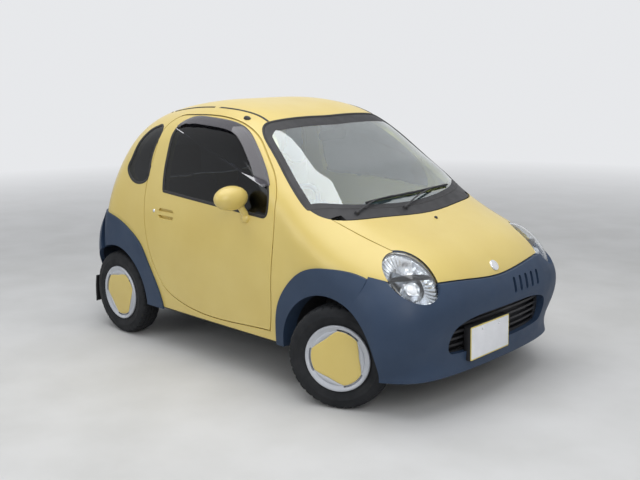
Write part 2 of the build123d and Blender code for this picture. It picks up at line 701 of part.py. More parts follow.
def wing_mirror():
    """Right mirror: an egg-shaped shell with a flat back, on a stalk with a round foot."""
    x, y, z = sx(MIRROR_CENTRE[0]), -MIRROR_CENTRE[1], sz(MIRROR_CENTRE[2])
    foot_x, foot_y, foot_z = sx(MIRROR_FOOT[0]), -sy(MIRROR_FOOT[1]), sz(MIRROR_FOOT[2])
    radius, wide = MIRROR_HALF
    wires = []
    for at in (-MIRROR_BACK, -0.4, -0.2, 0.0, 0.2, 0.4, 0.6, 0.78, 0.9, 0.97, 0.995):
        share = math.sqrt(1 - at * at)
        turns = [k * math.pi / 8 for k in range(16)]
        across_y, up = wide * share, radius * share
        points = [Vector(at * radius, across_y * math.cos(a), up * math.sin(a)) for a in turns]
        wires.append(Wire([Edge.make_spline(points, periodic=True)]))
    shell = Pos(x, y, z) * Solid.make_loft(wires)
    elbow = (foot_x, foot_y - 30, (foot_z + z) / 2)
    stalk = bar((foot_x, foot_y + 12, foot_z), elbow, MIRROR_STALK) + Pos(*elbow) * Sphere(MIRROR_STALK)
    stalk = stalk + bar(elbow, (x, y + 0.6 * wide, z), MIRROR_STALK)
    stalk = stalk + Pos(foot_x, foot_y, foot_z) * Sphere(MIRROR_FOOT_R)
    return biggest((biggest(shell + stalk) & box(-BIG, BIG, -BIG, 0, 0, BIG)) - trim_inner)


def tyre():
    """Tyre about the Y axis, with a rounded tread and full side walls."""
    half = TYRE_WIDTH / 2
    side = [(BEAD_RADIUS + 12, half - 16), (BEAD_RADIUS + 30, half - 5), (BEAD_RADIUS + 55, half),
            (TYRE_RADIUS - 22, half - 4), (TYRE_RADIUS - 7, half - 14)]
    tread = [(TYRE_RADIUS - 7, half - 14), (TYRE_RADIUS, 0), (TYRE_RADIUS - 7, 14 - half)]
    back = [(r, -y) for r, y in reversed(side)]
    bead = (BEAD_RADIUS, half - 17), (BEAD_RADIUS + 12, half - 16)
    foot = [(r, -y) for r, y in reversed(bead)]
    runs = [list(bead), side, tread, back, foot, [(BEAD_RADIUS, 17 - half), (BEAD_RADIUS, half - 17)]]
    section = Face(Wire(run_edges(runs, lambda a, b: Vector(a, b, 0))))
    return revolve(section, Axis.Y)


def ring(inner, outer, y0, y1):
    tube = across(0, 0, outer, y0, y1)
    return tube - across(0, 0, inner, y0 - 1, y1 + 1) if inner else tube


def rim():
    """Left wheel about the Y axis: rim, hub and the cover with its slots and raised petals."""
    half = TYRE_WIDTH / 2
    seat = BEAD_RADIUS - SEAT
    body = ring(seat - 11, seat, 11 - half, half - 11) + ring(seat - 11, seat + 8, half - 15.7, half - 10)
    body += ring(seat - 11, seat + 8, 10 - half, 15.7 - half)
    body += ring(0, seat - 5, 12, 20) + ring(0, HUB_RADIUS, -30, half - 18)
    slot_end = COVER_PLATE + COVER_SLOT
    face = [(0, half - 12), (100, half - 8), (COVER_PLATE, half - 7), (slot_end, half - 4),
            (COVER_RADIUS - 9, half), (COVER_RADIUS - 3, half), (COVER_RADIUS, half - 4),
            (COVER_RADIUS, half - 9),
            (slot_end, half - 13), (100, half - 14), (0, half - 18)]
    edges = [Edge.make_line(Vector(*a, 0), Vector(*b, 0)) for a, b in zip(face, face[1:] + face[:1])]
    body += revolve(Face(Wire(edges)), Axis.Y)
    slot = ring(COVER_PLATE, slot_end, half - 20, half + 5)
    for i in range(3):
        cutter = Rot(0, 120 * i, 0) * (slot & wedge(24, half))
        body = body - cutter
    body = body - across(0, 0, STUB_RADIUS + RUNNING, -60, 42)
    return biggest(body)


def wedge(half_angle, half):
    """Upright sector about the Y axis that the slots of the cover are cut with."""
    reach = 300.0
    side = reach * math.tan(math.radians(half_angle))
    points = [Vector(0, half - 30, 0), Vector(side, half - 30, reach), Vector(-side, half - 30, reach)]
    edges = [Edge.make_line(a, b) for a, b in zip(points, points[1:] + points[:1])]
    return Solid.extrude(Face(Wire(edges)), Vector(0, 60, 0))


def knuckle():
    """Left knuckle about the kingpin axis, with the stub that the wheel turns on."""
    upright = box(-22, 22, -56, -26, KNUCKLE_LOW, KNUCKLE_TOP)
    lugs = box(-22, 22, -56, 20, KNUCKLE_LOW, KNUCKLE_LOW + 20)
    lugs += box(-22, 22, -56, 22, KNUCKLE_TOP - 25, KNUCKLE_TOP)
    boss = across(0, TYRE_RADIUS, 32, -40, KINGPIN_INSET - 32)
    stub = across(0, TYRE_RADIUS, STUB_RADIUS, 0, KINGPIN_INSET + 40)
    body = upright + lugs + boss + stub
    body = body - bar((0, 0, KNUCKLE_LOW - 9), (0, 0, KNUCKLE_LOW + 21), KINGPIN_RADIUS + RUNNING)
    return body - bar((0, 0, KNUCKLE_TOP - 26), (0, 0, KNUCKLE_TOP + 9), KINGPIN_RADIUS + RUNNING)


def steered(shape, side):
    """Piece about the kingpin axis of one side, turned to where the wheels are parked."""
    return Pos(FRONT_AXLE_X, side * KINGPIN_Y, 0) * Rot(0, 0, PARKED_STEER) * shape


def front_suspension():
    """Subframe with its rails under the floor, and the lower arms with the pins of the knuckles."""
    x = FRONT_AXLE_X
    frame = box(x - 38, x + 38, -330, 330, KNUCKLE_LOW - 12, KNUCKLE_LOW + 24)
    for side in (-1, 1):
        y0, y1 = sorted((side * 280, side * 320))
        frame += box(FLOOR_FRONT - 80, x, y0, y1, KNUCKLE_LOW - 12, FLOOR_Z - SEAT)
        y0, y1 = sorted((side * 300, side * (KINGPIN_Y + 16)))
        frame += box(x - 28, x + 28, y0, y1, KNUCKLE_LOW - 22, KNUCKLE_LOW - 4)
        pin_y = side * KINGPIN_Y
        frame += bar((x, pin_y, KNUCKLE_LOW - 22), (x, pin_y, KNUCKLE_LOW + 18), KINGPIN_RADIUS)
    return frame


def liner(axle_x, radius, y0, tower):
    """Left wheel-arch liner: a half drum with its inner wall, open below and to the outside."""
    drum = across(axle_x, TYRE_RADIUS, radius + LINER, y0 - LINER, sy(705))
    drum = drum - across(axle_x, TYRE_RADIUS, radius, y0, sy(720))
    drum = biggest((drum & cabin_form) - box(-BIG, BIG, -BIG, BIG, -200, SILL_Z))
    if tower:
        top = TYRE_RADIUS + radius + 2
        drum = drum + bar((axle_x, KINGPIN_Y, KNUCKLE_TOP + 4), (axle_x, KINGPIN_Y, top), 22)
        drum = drum + bar((axle_x, KINGPIN_Y, KNUCKLE_TOP - 22), (axle_x, KINGPIN_Y, top), KINGPIN_RADIUS)
    else:
        drum = drum - across(axle_x, TYRE_RADIUS, AXLE_TUBE + SHUT, y0 - 2 * LINER, y0 + LINER)
    return biggest(drum)


def liner_envelope(axle_x, radius, y0):
    left = across(axle_x, TYRE_RADIUS, radius + LINER + SEAT, y0 - LINER - SEAT, 900)
    return [left, mirrored(left)]


def profile_solid(points, half):
    """Solid of a closed polygon in side view, from one side to the other."""
    edges = [Edge.make_line(Vector(a[0], -half, a[1]), Vector(b[0], -half, b[1]))
             for a, b in zip(points, points[1:] + points[:1])]
    return Solid.extrude(Face(Wire(edges)), Vector(0, 2 * half, 0))


def floor_pan():
    """Floor with its kick-up over the rear axle, and the inner sills."""
    kick, rear = REAR_AXLE_X + 360, REAR_AXLE_X + 276
    end = sx(-1235)
    line = [(FLOOR_FRONT, FLOOR_Z), (kick, FLOOR_Z), (rear, REAR_FLOOR_Z), (end, REAR_FLOOR_Z),
            (end, REAR_FLOOR_Z + PLATE), (rear + 8, REAR_FLOOR_Z + PLATE), (kick + 8, FLOOR_Z + PLATE),
            (FLOOR_FRONT, FLOOR_Z + PLATE)]
    pan = profile_solid(line, 760) & cabin_form
    for side in (-1, 1):
        y0, y1 = sorted((side * 610, side * 760))
        pan = pan + (box(kick + 20, FLOOR_FRONT - 60, y0, y1, FLOOR_Z, SILL_Z + 24) & cabin_form)
    for zone in [*liner_envelope(FRONT_AXLE_X, LINER_FRONT, FRONT_WELL_Y),
                 *liner_envelope(REAR_AXLE_X, LINER_REAR, REAR_WELL_Y)]:
        pan = pan - zone
    return biggest(pan)


def bulkhead():
    toe, top = FLOOR_FRONT + SEAT, DASH_FRONT + PLATE
    line = [(toe, FLOOR_Z), (toe + PLATE, FLOOR_Z), (top - 36, 330), (top, 600), (top, sz(880)),
            (DASH_FRONT, sz(880)), (DASH_FRONT, 602), (top - 50, 334), (toe, FLOOR_Z + PLATE + 4)]
    wall = profile_solid(line, 760) & cabin_form
    for zone in liner_envelope(FRONT_AXLE_X, LINER_FRONT, FRONT_WELL_Y):
        wall = wall - zone
    return biggest(wall)


def column_axis():
    tilt = math.radians(STEERING_TILT)
    return Vector(-math.cos(tilt), 0, math.sin(tilt))


def wheel_centre():
    return Vector(sx(STEERING_CENTRE[0]), -STEERING_Y, sz(STEERING_CENTRE[1]))


def dashboard():
    """Dashboard with the shroud of the steering column."""
    front = DASH_FRONT - SEAT
    line = [(front, sz(600)), (front - 90, sz(575)), (front - 210, sz(600)), (front - 285, sz(655)),
            (front - 305, sz(740)), (front - 288, sz(835)), (front - 220, sz(872)), (front - 80, sz(888)),
            (front, sz(884))]
    board = profile_solid(line, 625) & cabin_form
    for zone in liner_envelope(FRONT_AXLE_X, LINER_FRONT, FRONT_WELL_Y):
        board = biggest(board - zone)
    shroud = bar(wheel_centre() - column_axis() * 62, wheel_centre() - column_axis() * 240, 34)
    shaft_room = bar(wheel_centre(), wheel_centre() - column_axis() * 262, SHAFT + SEAT)
    return biggest((board + shroud) - shaft_room)


def steering_wheel():
    """Steering wheel with three spokes, turned as far as the parked wheels ask, and its shaft."""
    place = Plane(origin=wheel_centre(), x_dir=Vector(0, -1, 0), z_dir=column_axis())
    wheel = Torus(STEERING_RADIUS, STEERING_TUBE) + Pos(0, 0, -14) * Cylinder(46, 34)
    for angle in (0, 180, 270):
        wheel += Rot(0, 0, angle) * box(30, STEERING_RADIUS, -14, 14, -14, -4)
    wheel += Pos(0, 0, -125) * Cylinder(SHAFT, 250)
    return place.location * Rot(0, 0, PARKED_STEER) * wheel


def cabin_seat():
    """Right seat: base, cushion, leaning back and headrest as one plain form."""
    half, y = SEAT_WIDTH / 2, -SEAT_Y
    base = box(-540, -140, y - half + 50, y + half - 50, FLOOR_Z + PLATE + SEAT, 340)
    cushion = Pos(0, y, 0) * profile_solid([(-80, 340), (-62, 420), (-100, 470), (-300, 462), (-560, 425),
                                            (-580, 330)], half)
    back = Pos(0, y, 0) * profile_solid([(-480, 400), (-580, 345), (-650, 400), (-800, 940), (-775, 985),
                                         (-700, 985),
                                         (-665, 940)], half)
    head = Pos(0, y, 0) * profile_solid([(-712, 980), (-700, 1080), (-728, 1160), (-800, 1165),
                                         (-815, 1010), (-780, 975)], 130)
    return base + cushion + back + head


def engine():
    block = box(FRONT_AXLE_X - 160, FRONT_AXLE_X + 190, -330, 330, FLOOR_Z, sz(640))
    return fillet(block.edges(), 20)


def rear_axle():
    """Twist beam with trailing arms, spring seats, backing plates and the stubs of the wheels."""
    x, z, stub_y = REAR_AXLE_X, TYRE_RADIUS, TRACK_REAR / 2
    beam = across(x, z, AXLE_TUBE, 45 - stub_y, stub_y - 45)
    beam += across(x, z, STUB_RADIUS, -stub_y - 40, stub_y + 40)
    for side in (-1, 1):
        y0, y1 = sorted((side * (stub_y - 54), side * (stub_y - 34)))
        beam += across(x, z, 100, y0, y1)
        y0, y1 = sorted((side * 425, side * 465))
        beam += box(x - 24, x + 400, y0, y1, FLOOR_Z - 30, FLOOR_Z - SEAT)
        beam += box(x - 24, x + 24, y0, y1, FLOOR_Z - 30, z)
        beam += bar((x, side * 445, z), (x, side * 445, REAR_FLOOR_Z - SEAT), 46)
    return beam


def exhaust():
    """Pipe along the floor and under the beam, a silencer across the tail and the tail pipe."""
    r, z = PIPE, FLOOR_Z - SEAT - PIPE
    silencer_x, silencer_z = REAR_AXLE_X - 190, z + 62
    end_x, end_z = 140 - LENGTH / 2, BUMPER_Z - 32
    route = [(FRONT_AXLE_X - 175, 120, z), (REAR_AXLE_X - 60, 120, z), (silencer_x, 120, silencer_z)]
    y = TAIL_PIPE_Y
    tail = [(silencer_x, y, silencer_z), (silencer_x - 45, y, end_z), (end_x - 110, y, end_z)]
    pipe = across(silencer_x, silencer_z, SILENCER, -150, 220)
    for points, radius in ((route, r), (tail, TAIL_PIPE)):
        for a, b in zip(points, points[1:]):
            pipe = pipe + bar(a, b, radius)
        pipe = pipe + Pos(*points[1]) * Sphere(radius)
    return pipe


def fuel_tank():
    tank = box(REAR_AXLE_X + 84, REAR_AXLE_X + 264, -380, 380, REAR_FLOOR_Z - 170, REAR_FLOOR_Z - SEAT)
    return fillet(tank.edges().filter_by(Axis.Y), 24)


REAR_AXLE_X = FRONT_AXLE_X - WHEELBASE
KINGPIN_Y = TRACK_FRONT / 2 - KINGPIN_INSET
BIG = 2000.0

os.makedirs("parts", exist_ok=True)

# The body form at every depth that a piece lies at
skin_form = body_form(0.0)
under_skin = body_form(SKIN)
under_skin_seat = body_form(SKIN + SEAT)
under_wall = body_form(WALL)
cabin_form = body_form(WALL + SEAT)
glass_outer = body_form(GLASS_DEPTH)
glass_inner = body_form(GLASS_DEPTH + GLASS)
trim_outer = body_form(-TRIM_PROUD)
trim_inner = body_form(-SEAT)
nose_form = body_form(front_swell, 0.0, 0.4, 12)
tail_form_outer = body_form(rear_swell, 0.6, 1.0, 12)
tail_inner = body_form(lambda p: rear_swell(p) + SKIN, 0.6, 1.0, 12)

skin_band = skin_form - under_skin
wall_band = skin_form - under_wall
glass_band = glass_outer - glass_inner
trim_band = trim_outer - trim_inner
right_half = box(-BIG, BIG, -BIG, 0, 0, BIG)

# Zones that the panels are cut with
roof_zone = plan_prism(ROOF_ZONE, sz(1150), BIG)
roof_space = plan_prism(grown(ROOF_ZONE, -SEAT), sz(1150), BIG)
screen_zone = plan_prism(SCREEN_ZONE, sz(800), BIG)
screen_space = plan_prism(grown(SCREEN_ZONE, -SEAT), sz(800), BIG)
glass_foot_zone = plan_prism([GLASS_FOOT, [GLASS_FOOT[-1], (BIG, GLASS_FOOT[-1][1])],
                              [(BIG, GLASS_FOOT[-1][1]), (BIG, GLASS_FOOT[0][1])],
                              [(BIG, GLASS_FOOT[0][1]), GLASS_FOOT[0]]], sz(800), BIG)
bonnet_zone = plan_prism(BONNET_ZONE, sz(500), BIG)
bonnet_space = plan_prism(grown(BONNET_ZONE, -SHUT), sz(500), BIG)
nose_zone = bumper_zone(FRONT_BUMPER_TOP, BIG, FRONT_TRIM_SEAM, FRONT_AXLE_X)
tail_zone = bumper_zone(REAR_BUMPER_TOP, -BIG, REAR_TRIM_SEAM, REAR_AXLE_X)
hatch_runs = [scaled(HATCH_HALF, sy, sz), [(-a, b) for a, b in reversed(scaled(HATCH_HALF, sy, sz))]]
hatch_zone = end_prism(grown(hatch_runs, SHUT), sx(-700), -BIG)
hatch_space = end_prism(hatch_runs, sx(-700), -BIG)
mouth_zone = end_prism(mouth_runs(), sx(900), BIG)
low_zone = box(-BIG, BIG, -BIG, BIG, -100, BUMPER_Z)
sill_zone = box(-BIG, BIG, -BIG, BIG, -100, SILL_Z)
lamp_hole = lamp_form(SEAT)
lamp_space = lamp_form(SHUT)
tail_lamp_hole = tail_form(SEAT)
front_arch = wheel_well(FRONT_AXLE_X, ARCH_RADIUS + ARCH_LIP + SEAT, 300)
rear_arch = wheel_well(REAR_AXLE_X, ARCH_RADIUS + ARCH_LIP + SEAT, 300)
front_opening = wheel_well(FRONT_AXLE_X, ARCH_RADIUS, 300)
rear_opening = wheel_well(REAR_AXLE_X, ARCH_RADIUS, 300)
door_gap = door_plug(SHUT)
door_window = side_prism([scaled(run) for run in DOOR_WINDOW], 200)
quarter_window = side_prism([scaled(run) for run in QUARTER_WINDOW], 200)
door_relief = door_sweep()
wing_space = wing_zone()

# Pieces that lie across the middle
save("floor_pan", floor_pan())
save("bulkhead", bulkhead())
save("roof_panel", roof_panel())
save("rear_panel", rear_panel())
save("windshield", windshield())
save("cowl_panel", cowl_panel())
save("front_bumper", front_bumper())
save("rear_bumper", rear_bumper())
save("lower_grille", *lower_grille())
save("bonnet", bonnet())
save("rear_hatch", rear_hatch())
save("dashboard", dashboard())
save("steering_wheel", steering_wheel())
save("engine", engine())
save("front_suspension", front_suspension())
save("rear_axle", rear_axle())
save("exhaust", exhaust())
save("fuel_tank", fuel_tank())

# Pairs that share a node
bowl, lens = headlamp()
for name, right in (("headlamp_bowls", bowl), ("headlamp_lenses", lens), ("tail_lamps", tail_lamp()),
                    ("quarter_glass", pane(QUARTER_WINDOW)), ("seats", cabin_seat())):
    save(name, right, mirrored(right))
trims = [arch_trim(FRONT_TRIM, FRONT_TRIM_SEAM, FRONT_AXLE_X),
         arch_trim(REAR_TRIM, REAR_TRIM_SEAM, REAR_AXLE_X)]
save("arch_trims", *trims, *[mirrored(trim) for trim in trims])
liners = [liner(FRONT_AXLE_X, LINER_FRONT, FRONT_WELL_Y, True),
          liner(REAR_AXLE_X, LINER_REAR, REAR_WELL_Y, False)]
save("wheel_liners", *liners, *[mirrored(piece) for piece in liners])

# Right and left pieces with a node each
for name, right in (("door", door()), ("door_glass", pane(DOOR_WINDOW)), ("mirror", wing_mirror()),
                    ("front_wing", front_wing()), ("body_side", body_side())):
    save(f"{name}_right", right)
    save(f"{name}_left", mirrored(right))

# Wheels and knuckles, drawn for the left side and mirrored for the right
for end, side in (("left", 1), ("right", -1)):
    for name, left in (("tyre", tyre()), ("rim", rim())):
        wheel = left if side > 0 else mirrored(left)
        front = Pos(0, side * KINGPIN_INSET, TYRE_RADIUS) * Rot(0, FRONT_ROLL, 0) * wheel
        save(f"{name}_front_{end}", steered(front, side))
        rear = Pos(REAR_AXLE_X, side * TRACK_REAR / 2, TYRE_RADIUS) * Rot(0, REAR_ROLL, 0) * wheel
        save(f"{name}_rear_{end}", rear)
    save(f"knuckle_{end}", steered(knuckle() if side > 0 else mirrored(knuckle()), side))
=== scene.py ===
import bmesh
import bpy
import json
import math
from mathutils import Matrix, Vector
from mathutils.bvhtree import BVHTree


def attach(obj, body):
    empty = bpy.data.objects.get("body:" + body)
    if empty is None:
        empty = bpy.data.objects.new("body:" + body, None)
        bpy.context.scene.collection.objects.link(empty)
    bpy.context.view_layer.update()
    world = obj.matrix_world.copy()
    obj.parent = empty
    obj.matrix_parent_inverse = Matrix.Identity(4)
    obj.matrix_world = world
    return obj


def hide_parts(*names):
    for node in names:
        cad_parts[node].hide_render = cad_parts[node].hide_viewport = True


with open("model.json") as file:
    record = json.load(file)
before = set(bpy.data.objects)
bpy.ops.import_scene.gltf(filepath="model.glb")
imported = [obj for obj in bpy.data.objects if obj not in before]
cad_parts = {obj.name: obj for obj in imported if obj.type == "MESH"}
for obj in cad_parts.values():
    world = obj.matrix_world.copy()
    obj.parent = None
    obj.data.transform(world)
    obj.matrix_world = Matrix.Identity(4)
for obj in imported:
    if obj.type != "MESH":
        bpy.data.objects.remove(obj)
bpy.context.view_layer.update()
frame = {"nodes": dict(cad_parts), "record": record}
nodes = frame["nodes"]

# Places in mm, as in the part's source
SIDES = (("right", -1), ("left", 1))
FRONT_AXLE_X, REAR_AXLE_X = 837.5, -962.5
TYRE_RADIUS, KINGPIN_Y, KINGPIN_INSET, REAR_TRACK_Y = 260.0, 585.0, 70.0, 645.0
PARKED_STEER, FRONT_ROLL, REAR_ROLL = math.radians(24), math.radians(23), math.radians(50)
SEAT_Y = 330
WHEELS = {}
for side, sign in SIDES:
    mirrored = Matrix.Scale(sign, 4, (0, 1, 0))
    steered = Matrix.Translation((FRONT_AXLE_X, sign * KINGPIN_Y, 0)) @ Matrix.Rotation(PARKED_STEER, 4, "Z")
    WHEELS[f"front_{side}"] = (steered @ Matrix.Translation((0, sign * KINGPIN_INSET, TYRE_RADIUS))
                               @ Matrix.Rotation(FRONT_ROLL, 4, "Y") @ mirrored)
    WHEELS[f"rear_{side}"] = (Matrix.Translation((REAR_AXLE_X, sign * REAR_TRACK_Y, TYRE_RADIUS))
                              @ Matrix.Rotation(REAR_ROLL, 4, "Y") @ mirrored)


# Materials

def material(name, colour, rough=0.5, metal=0.0, **inputs):
    made = bpy.data.materials.new(name)
    made.use_nodes = True
    shader = made.node_tree.nodes["Principled BSDF"]
    shader.inputs["Base Color"].default_value = (*colour, 1)
    shader.inputs["Roughness"].default_value = rough
    shader.inputs["Metallic"].default_value = metal
    for key, value in inputs.items():
        shader.inputs[key.replace("_", " ")].default_value = value
    made.diffuse_color = (*colour, 1)
    return made


def add_node(tree, kind, **values):
    """New shader node with values on its named inputs."""
    made = tree.nodes.new(kind)
    for key, value in values.items():
        made.inputs[key.replace("_", " ")].default_value = value
    return made


def two_tones(tree, low, dark, high, light):
    """Colour ramp between two tones at two places."""
    ramp = tree.nodes.new("ShaderNodeValToRGB")
    for element, place, colour in zip(ramp.color_ramp.elements, (low, high), (dark, light)):
        element.position = place
        element.color = (*colour, 1)
    return ramp


def noise_of(made, scale, detail=4.0):
    """Noise in the frame's metres."""
    tree = made.node_tree
    noise = add_node(tree, "ShaderNodeTexNoise", Scale=scale, Detail=detail, Roughness=0.5)
    coords = tree.nodes.new("ShaderNodeTexCoord")
    tree.links.new(coords.outputs["Object"], noise.inputs["Vector"])
    return noise


def tint(made, dark, light, scale):
    """Base colour that drifts between two tones."""
    tree = made.node_tree
    ramp = two_tones(tree, 0.35, dark, 0.65, light)
    tree.links.new(noise_of(made, scale).outputs["Fac"], ramp.inputs["Fac"])
    tree.links.new(ramp.outputs["Color"], tree.nodes["Principled BSDF"].inputs["Base Color"])


def grain(made, scale, strength, distance=0.0005):
    """Surface relief from noise."""
    tree = made.node_tree
    bump = add_node(tree, "ShaderNodeBump", Strength=strength, Distance=distance)
    tree.links.new(noise_of(made, scale, 3.0).outputs["Fac"], bump.inputs["Height"])
    tree.links.new(bump.outputs["Normal"], tree.nodes["Principled BSDF"].inputs["Normal"])


def scuff(made, low, high, scale):
    """Roughness that drifts between two values."""
    tree = made.node_tree
    spread = add_node(tree, "ShaderNodeMapRange", From_Min=0.3, From_Max=0.7, To_Min=low, To_Max=high)
    tree.links.new(noise_of(made, scale, 5.0).outputs["Fac"], spread.inputs["Value"])
    tree.links.new(spread.outputs["Result"], tree.nodes["Principled BSDF"].inputs["Roughness"])


def finished(made, dark, light, tone_scale, rough, rough_scale, relief_scale, relief):
    """Tone, roughness and relief in one go."""
    tint(made, dark, light, tone_scale)
    scuff(made, rough[0], rough[1], rough_scale)
    grain(made, relief_scale, relief)


paint = material("yellow paint", (0.69, 0.53, 0.15), 0.4, Coat_Weight=0.5, Coat_Roughness=0.28)
finished(paint, (0.675, 0.515, 0.14), (0.71, 0.555, 0.165), 3.0, (0.36, 0.46), 9.0, 900.0, 0.02)
slate = material("slate plastic", (0.022, 0.043, 0.085), 0.5, Specular_IOR_Level=0.4)
finished(slate, (0.020, 0.040, 0.080), (0.026, 0.049, 0.095), 5.0, (0.46, 0.58), 14.0, 1500.0, 0.12)
black = material("black trim", (0.012, 0.012, 0.014), 0.55)
finished(black, (0.010, 0.010, 0.012), (0.017, 0.017, 0.020), 8.0, (0.48, 0.62), 20.0, 1800.0, 0.25)
seal = material("rubber seal", (0.010, 0.010, 0.011), 0.6)
finished(seal, (0.008, 0.008, 0.009), (0.014, 0.014, 0.015), 20.0, (0.5, 0.68), 40.0, 900.0, 0.12)
screen = material("windscreen glass", (0.70, 0.84, 0.84), 0.0, Transmission_Weight=1.0, IOR=1.62,
                  Coat_Weight=1.0, Coat_Roughness=0.02, Coat_IOR=1.8)
grain(screen, 1.2, 0.02, 0.002)
smoked = material("smoked glass", (0.07, 0.08, 0.09), 0.0, Transmission_Weight=1.0, IOR=1.32)
grain(smoked, 1.5, 0.02, 0.002)
visor_mat = material("smoked visor", (0.20, 0.19, 0.22), 0.06, Transmission_Weight=0.75, IOR=1.49)
grain(visor_mat, 2.0, 0.02, 0.002)
lamp_glass = material("lamp lens", (0.97, 0.99, 1.0), 0.02, Transmission_Weight=1.0, IOR=1.49)
grain(lamp_glass, 6.0, 0.05, 0.002)
reflector = material("reflector", (0.86, 0.87, 0.88), 0.09, 1.0)
scuff(reflector, 0.05, 0.16, 30.0)
grain(reflector, 60.0, 0.08, 0.0008)
red_lens = material("red lens", (0.42, 0.012, 0.012), 0.12, Coat_Weight=0.7, Coat_Roughness=0.05)
tint(red_lens, (0.36, 0.008, 0.008), (0.50, 0.016, 0.014), 20.0)
grain(red_lens, 350.0, 0.1)
cabin_grey = material("cabin plastic", (0.055, 0.06, 0.068), 0.6)
finished(cabin_grey, (0.048, 0.052, 0.060), (0.066, 0.072, 0.082), 6.0, (0.55, 0.7), 12.0, 700.0, 0.4)
underside = material("underseal", (0.018, 0.018, 0.02), 0.7)
finished(underside, (0.014, 0.014, 0.016), (0.034, 0.033, 0.032), 7.0, (0.6, 0.85), 9.0, 160.0, 0.35)
casting = material("casting", (0.13, 0.13, 0.135), 0.6, 0.5)
finished(casting, (0.08, 0.08, 0.085), (0.18, 0.175, 0.17), 12.0, (0.5, 0.75), 25.0, 400.0, 0.5)
steel = material("exhaust steel", (0.33, 0.32, 0.31), 0.45, 0.85)
finished(steel, (0.20, 0.16, 0.13), (0.40, 0.39, 0.38), 6.0, (0.35, 0.6), 30.0, 500.0, 0.2)
rubber = material("tyre rubber", (0.010, 0.011, 0.013), 0.8, Specular_IOR_Level=0.3)
finished(rubber, (0.008, 0.009, 0.011), (0.016, 0.017, 0.019), 9.0, (0.62, 0.82), 30.0, 1100.0, 0.25)
silver = material("wheel silver", (0.50, 0.52, 0.56), 0.42, 0.35)
finished(silver, (0.46, 0.48, 0.52), (0.55, 0.57, 0.61), 9.0, (0.36, 0.5), 30.0, 1200.0, 0.06)
chrome = material("chrome", (0.82, 0.83, 0.85), 0.1, 1.0)
scuff(chrome, 0.06, 0.2, 40.0)
white = material("plate white", (0.82, 0.83, 0.86), 0.4)
finished(white, (0.79, 0.80, 0.83), (0.86, 0.87, 0.90), 12.0, (0.34, 0.48), 20.0, 900.0, 0.05)
yellow_edge = material("plate edge", (0.72, 0.60, 0.16), 0.4)
finished(yellow_edge, (0.70, 0.58, 0.15), (0.76, 0.64, 0.19), 14.0, (0.34, 0.46), 20.0, 900.0, 0.05)
lamp_chrome = material("lamp chrome", (0.50, 0.52, 0.55), 0.16, 1.0)
scuff(lamp_chrome, 0.10, 0.24, 40.0)
lamp_clear = material("lamp glass inside", (0.92, 0.95, 0.98), 0.05, Transmission_Weight=0.6, IOR=1.45)
scuff(lamp_clear, 0.03, 0.1, 40.0)
cloth = material("seat cloth", (0.07, 0.075, 0.085), 0.9, Sheen_Weight=0.3)
finished(cloth, (0.055, 0.06, 0.07), (0.09, 0.095, 0.11), 60.0, (0.85, 0.95), 60.0, 900.0, 0.6)
grip = material("wheel grip", (0.03, 0.03, 0.032), 0.55)
finished(grip, (0.025, 0.025, 0.027), (0.04, 0.04, 0.043), 30.0, (0.5, 0.65), 30.0, 1400.0, 0.4)


def mix_shaders(tree, share, first, second, output):
    """Joins two shader sockets by a share socket and ends in the output node."""
    mix = tree.nodes.new("ShaderNodeMixShader")
    tree.links.new(share, mix.inputs[0])
    tree.links.new(first, mix.inputs[1])
    tree.links.new(second, mix.inputs[2])
    tree.links.new(mix.outputs["Shader"], tree.nodes[output].inputs["Surface"])


def see_through(made, colour):
    """Lets light pass the pane as tinted air does, so that what lies behind it is lit."""
    tree = made.node_tree
    air = add_node(tree, "ShaderNodeBsdfTransparent", Color=(*colour, 1))
    path = tree.nodes.new("ShaderNodeLightPath")
    mix_shaders(tree, path.outputs["Is Shadow Ray"], tree.nodes["Principled BSDF"].outputs["BSDF"],
                air.outputs["BSDF"], "Material Output")


see_through(screen, (0.60, 0.68, 0.68))
see_through(smoked, (0.18, 0.19, 0.20))
see_through(lamp_glass, (0.97, 0.98, 1.0))
see_through(lamp_clear, (0.9, 0.92, 0.95))

SLOT_MATERIALS = {
    "body_paint": paint, "bumper_plastic": slate, "black_trim": black, "glass_clear": screen,
    "glass_dark": smoked, "lamp_clear": lamp_glass, "lamp_red": red_lens, "reflector": reflector,
    "cabin_plastic": cabin_grey, "cabin_rubber": grip, "seat_cloth": cloth, "underbody": underside,
    "cast_parts": casting, "exhaust_steel": steel, "tyre_rubber": rubber, "wheel_silver": silver,
}
for part in frame["record"]["subparts"]:
    mesh = nodes[part["node"]].data
    mesh.materials.clear()
    mesh.materials.append(SLOT_MATERIALS[part["material_slot"]])
for side, _ in SIDES:
    mirror_mesh = nodes[f"mirror_{side}"].data
    mirror_mesh.materials.clear()
    mirror_mesh.materials.append(paint)


# Helpers for pieces made of points in mm

def piece(name, points, faces, body, made, crease=35.0):
    mesh = bpy.data.meshes.new(name)
    mesh.from_pydata([(p[0] / 1000, p[1] / 1000, p[2] / 1000) for p in points], [], faces)
    mesh.validate()
    mesh.update()
    mesh.polygons.foreach_set("use_smooth", [True] * len(mesh.polygons))
    mesh.set_sharp_from_angle(angle=math.radians(crease))
    mesh.materials.append(made)
    made_object = bpy.data.objects.new(name, mesh)
    bpy.context.scene.collection.objects.link(made_object)
    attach(made_object, body)
    return made_object


def thicken(made_object, depth, offset=-1.0):
    solid = made_object.modifiers.new("thickness", "SOLIDIFY")
    solid.thickness = depth / 1000
    solid.offset = offset
    return made_object


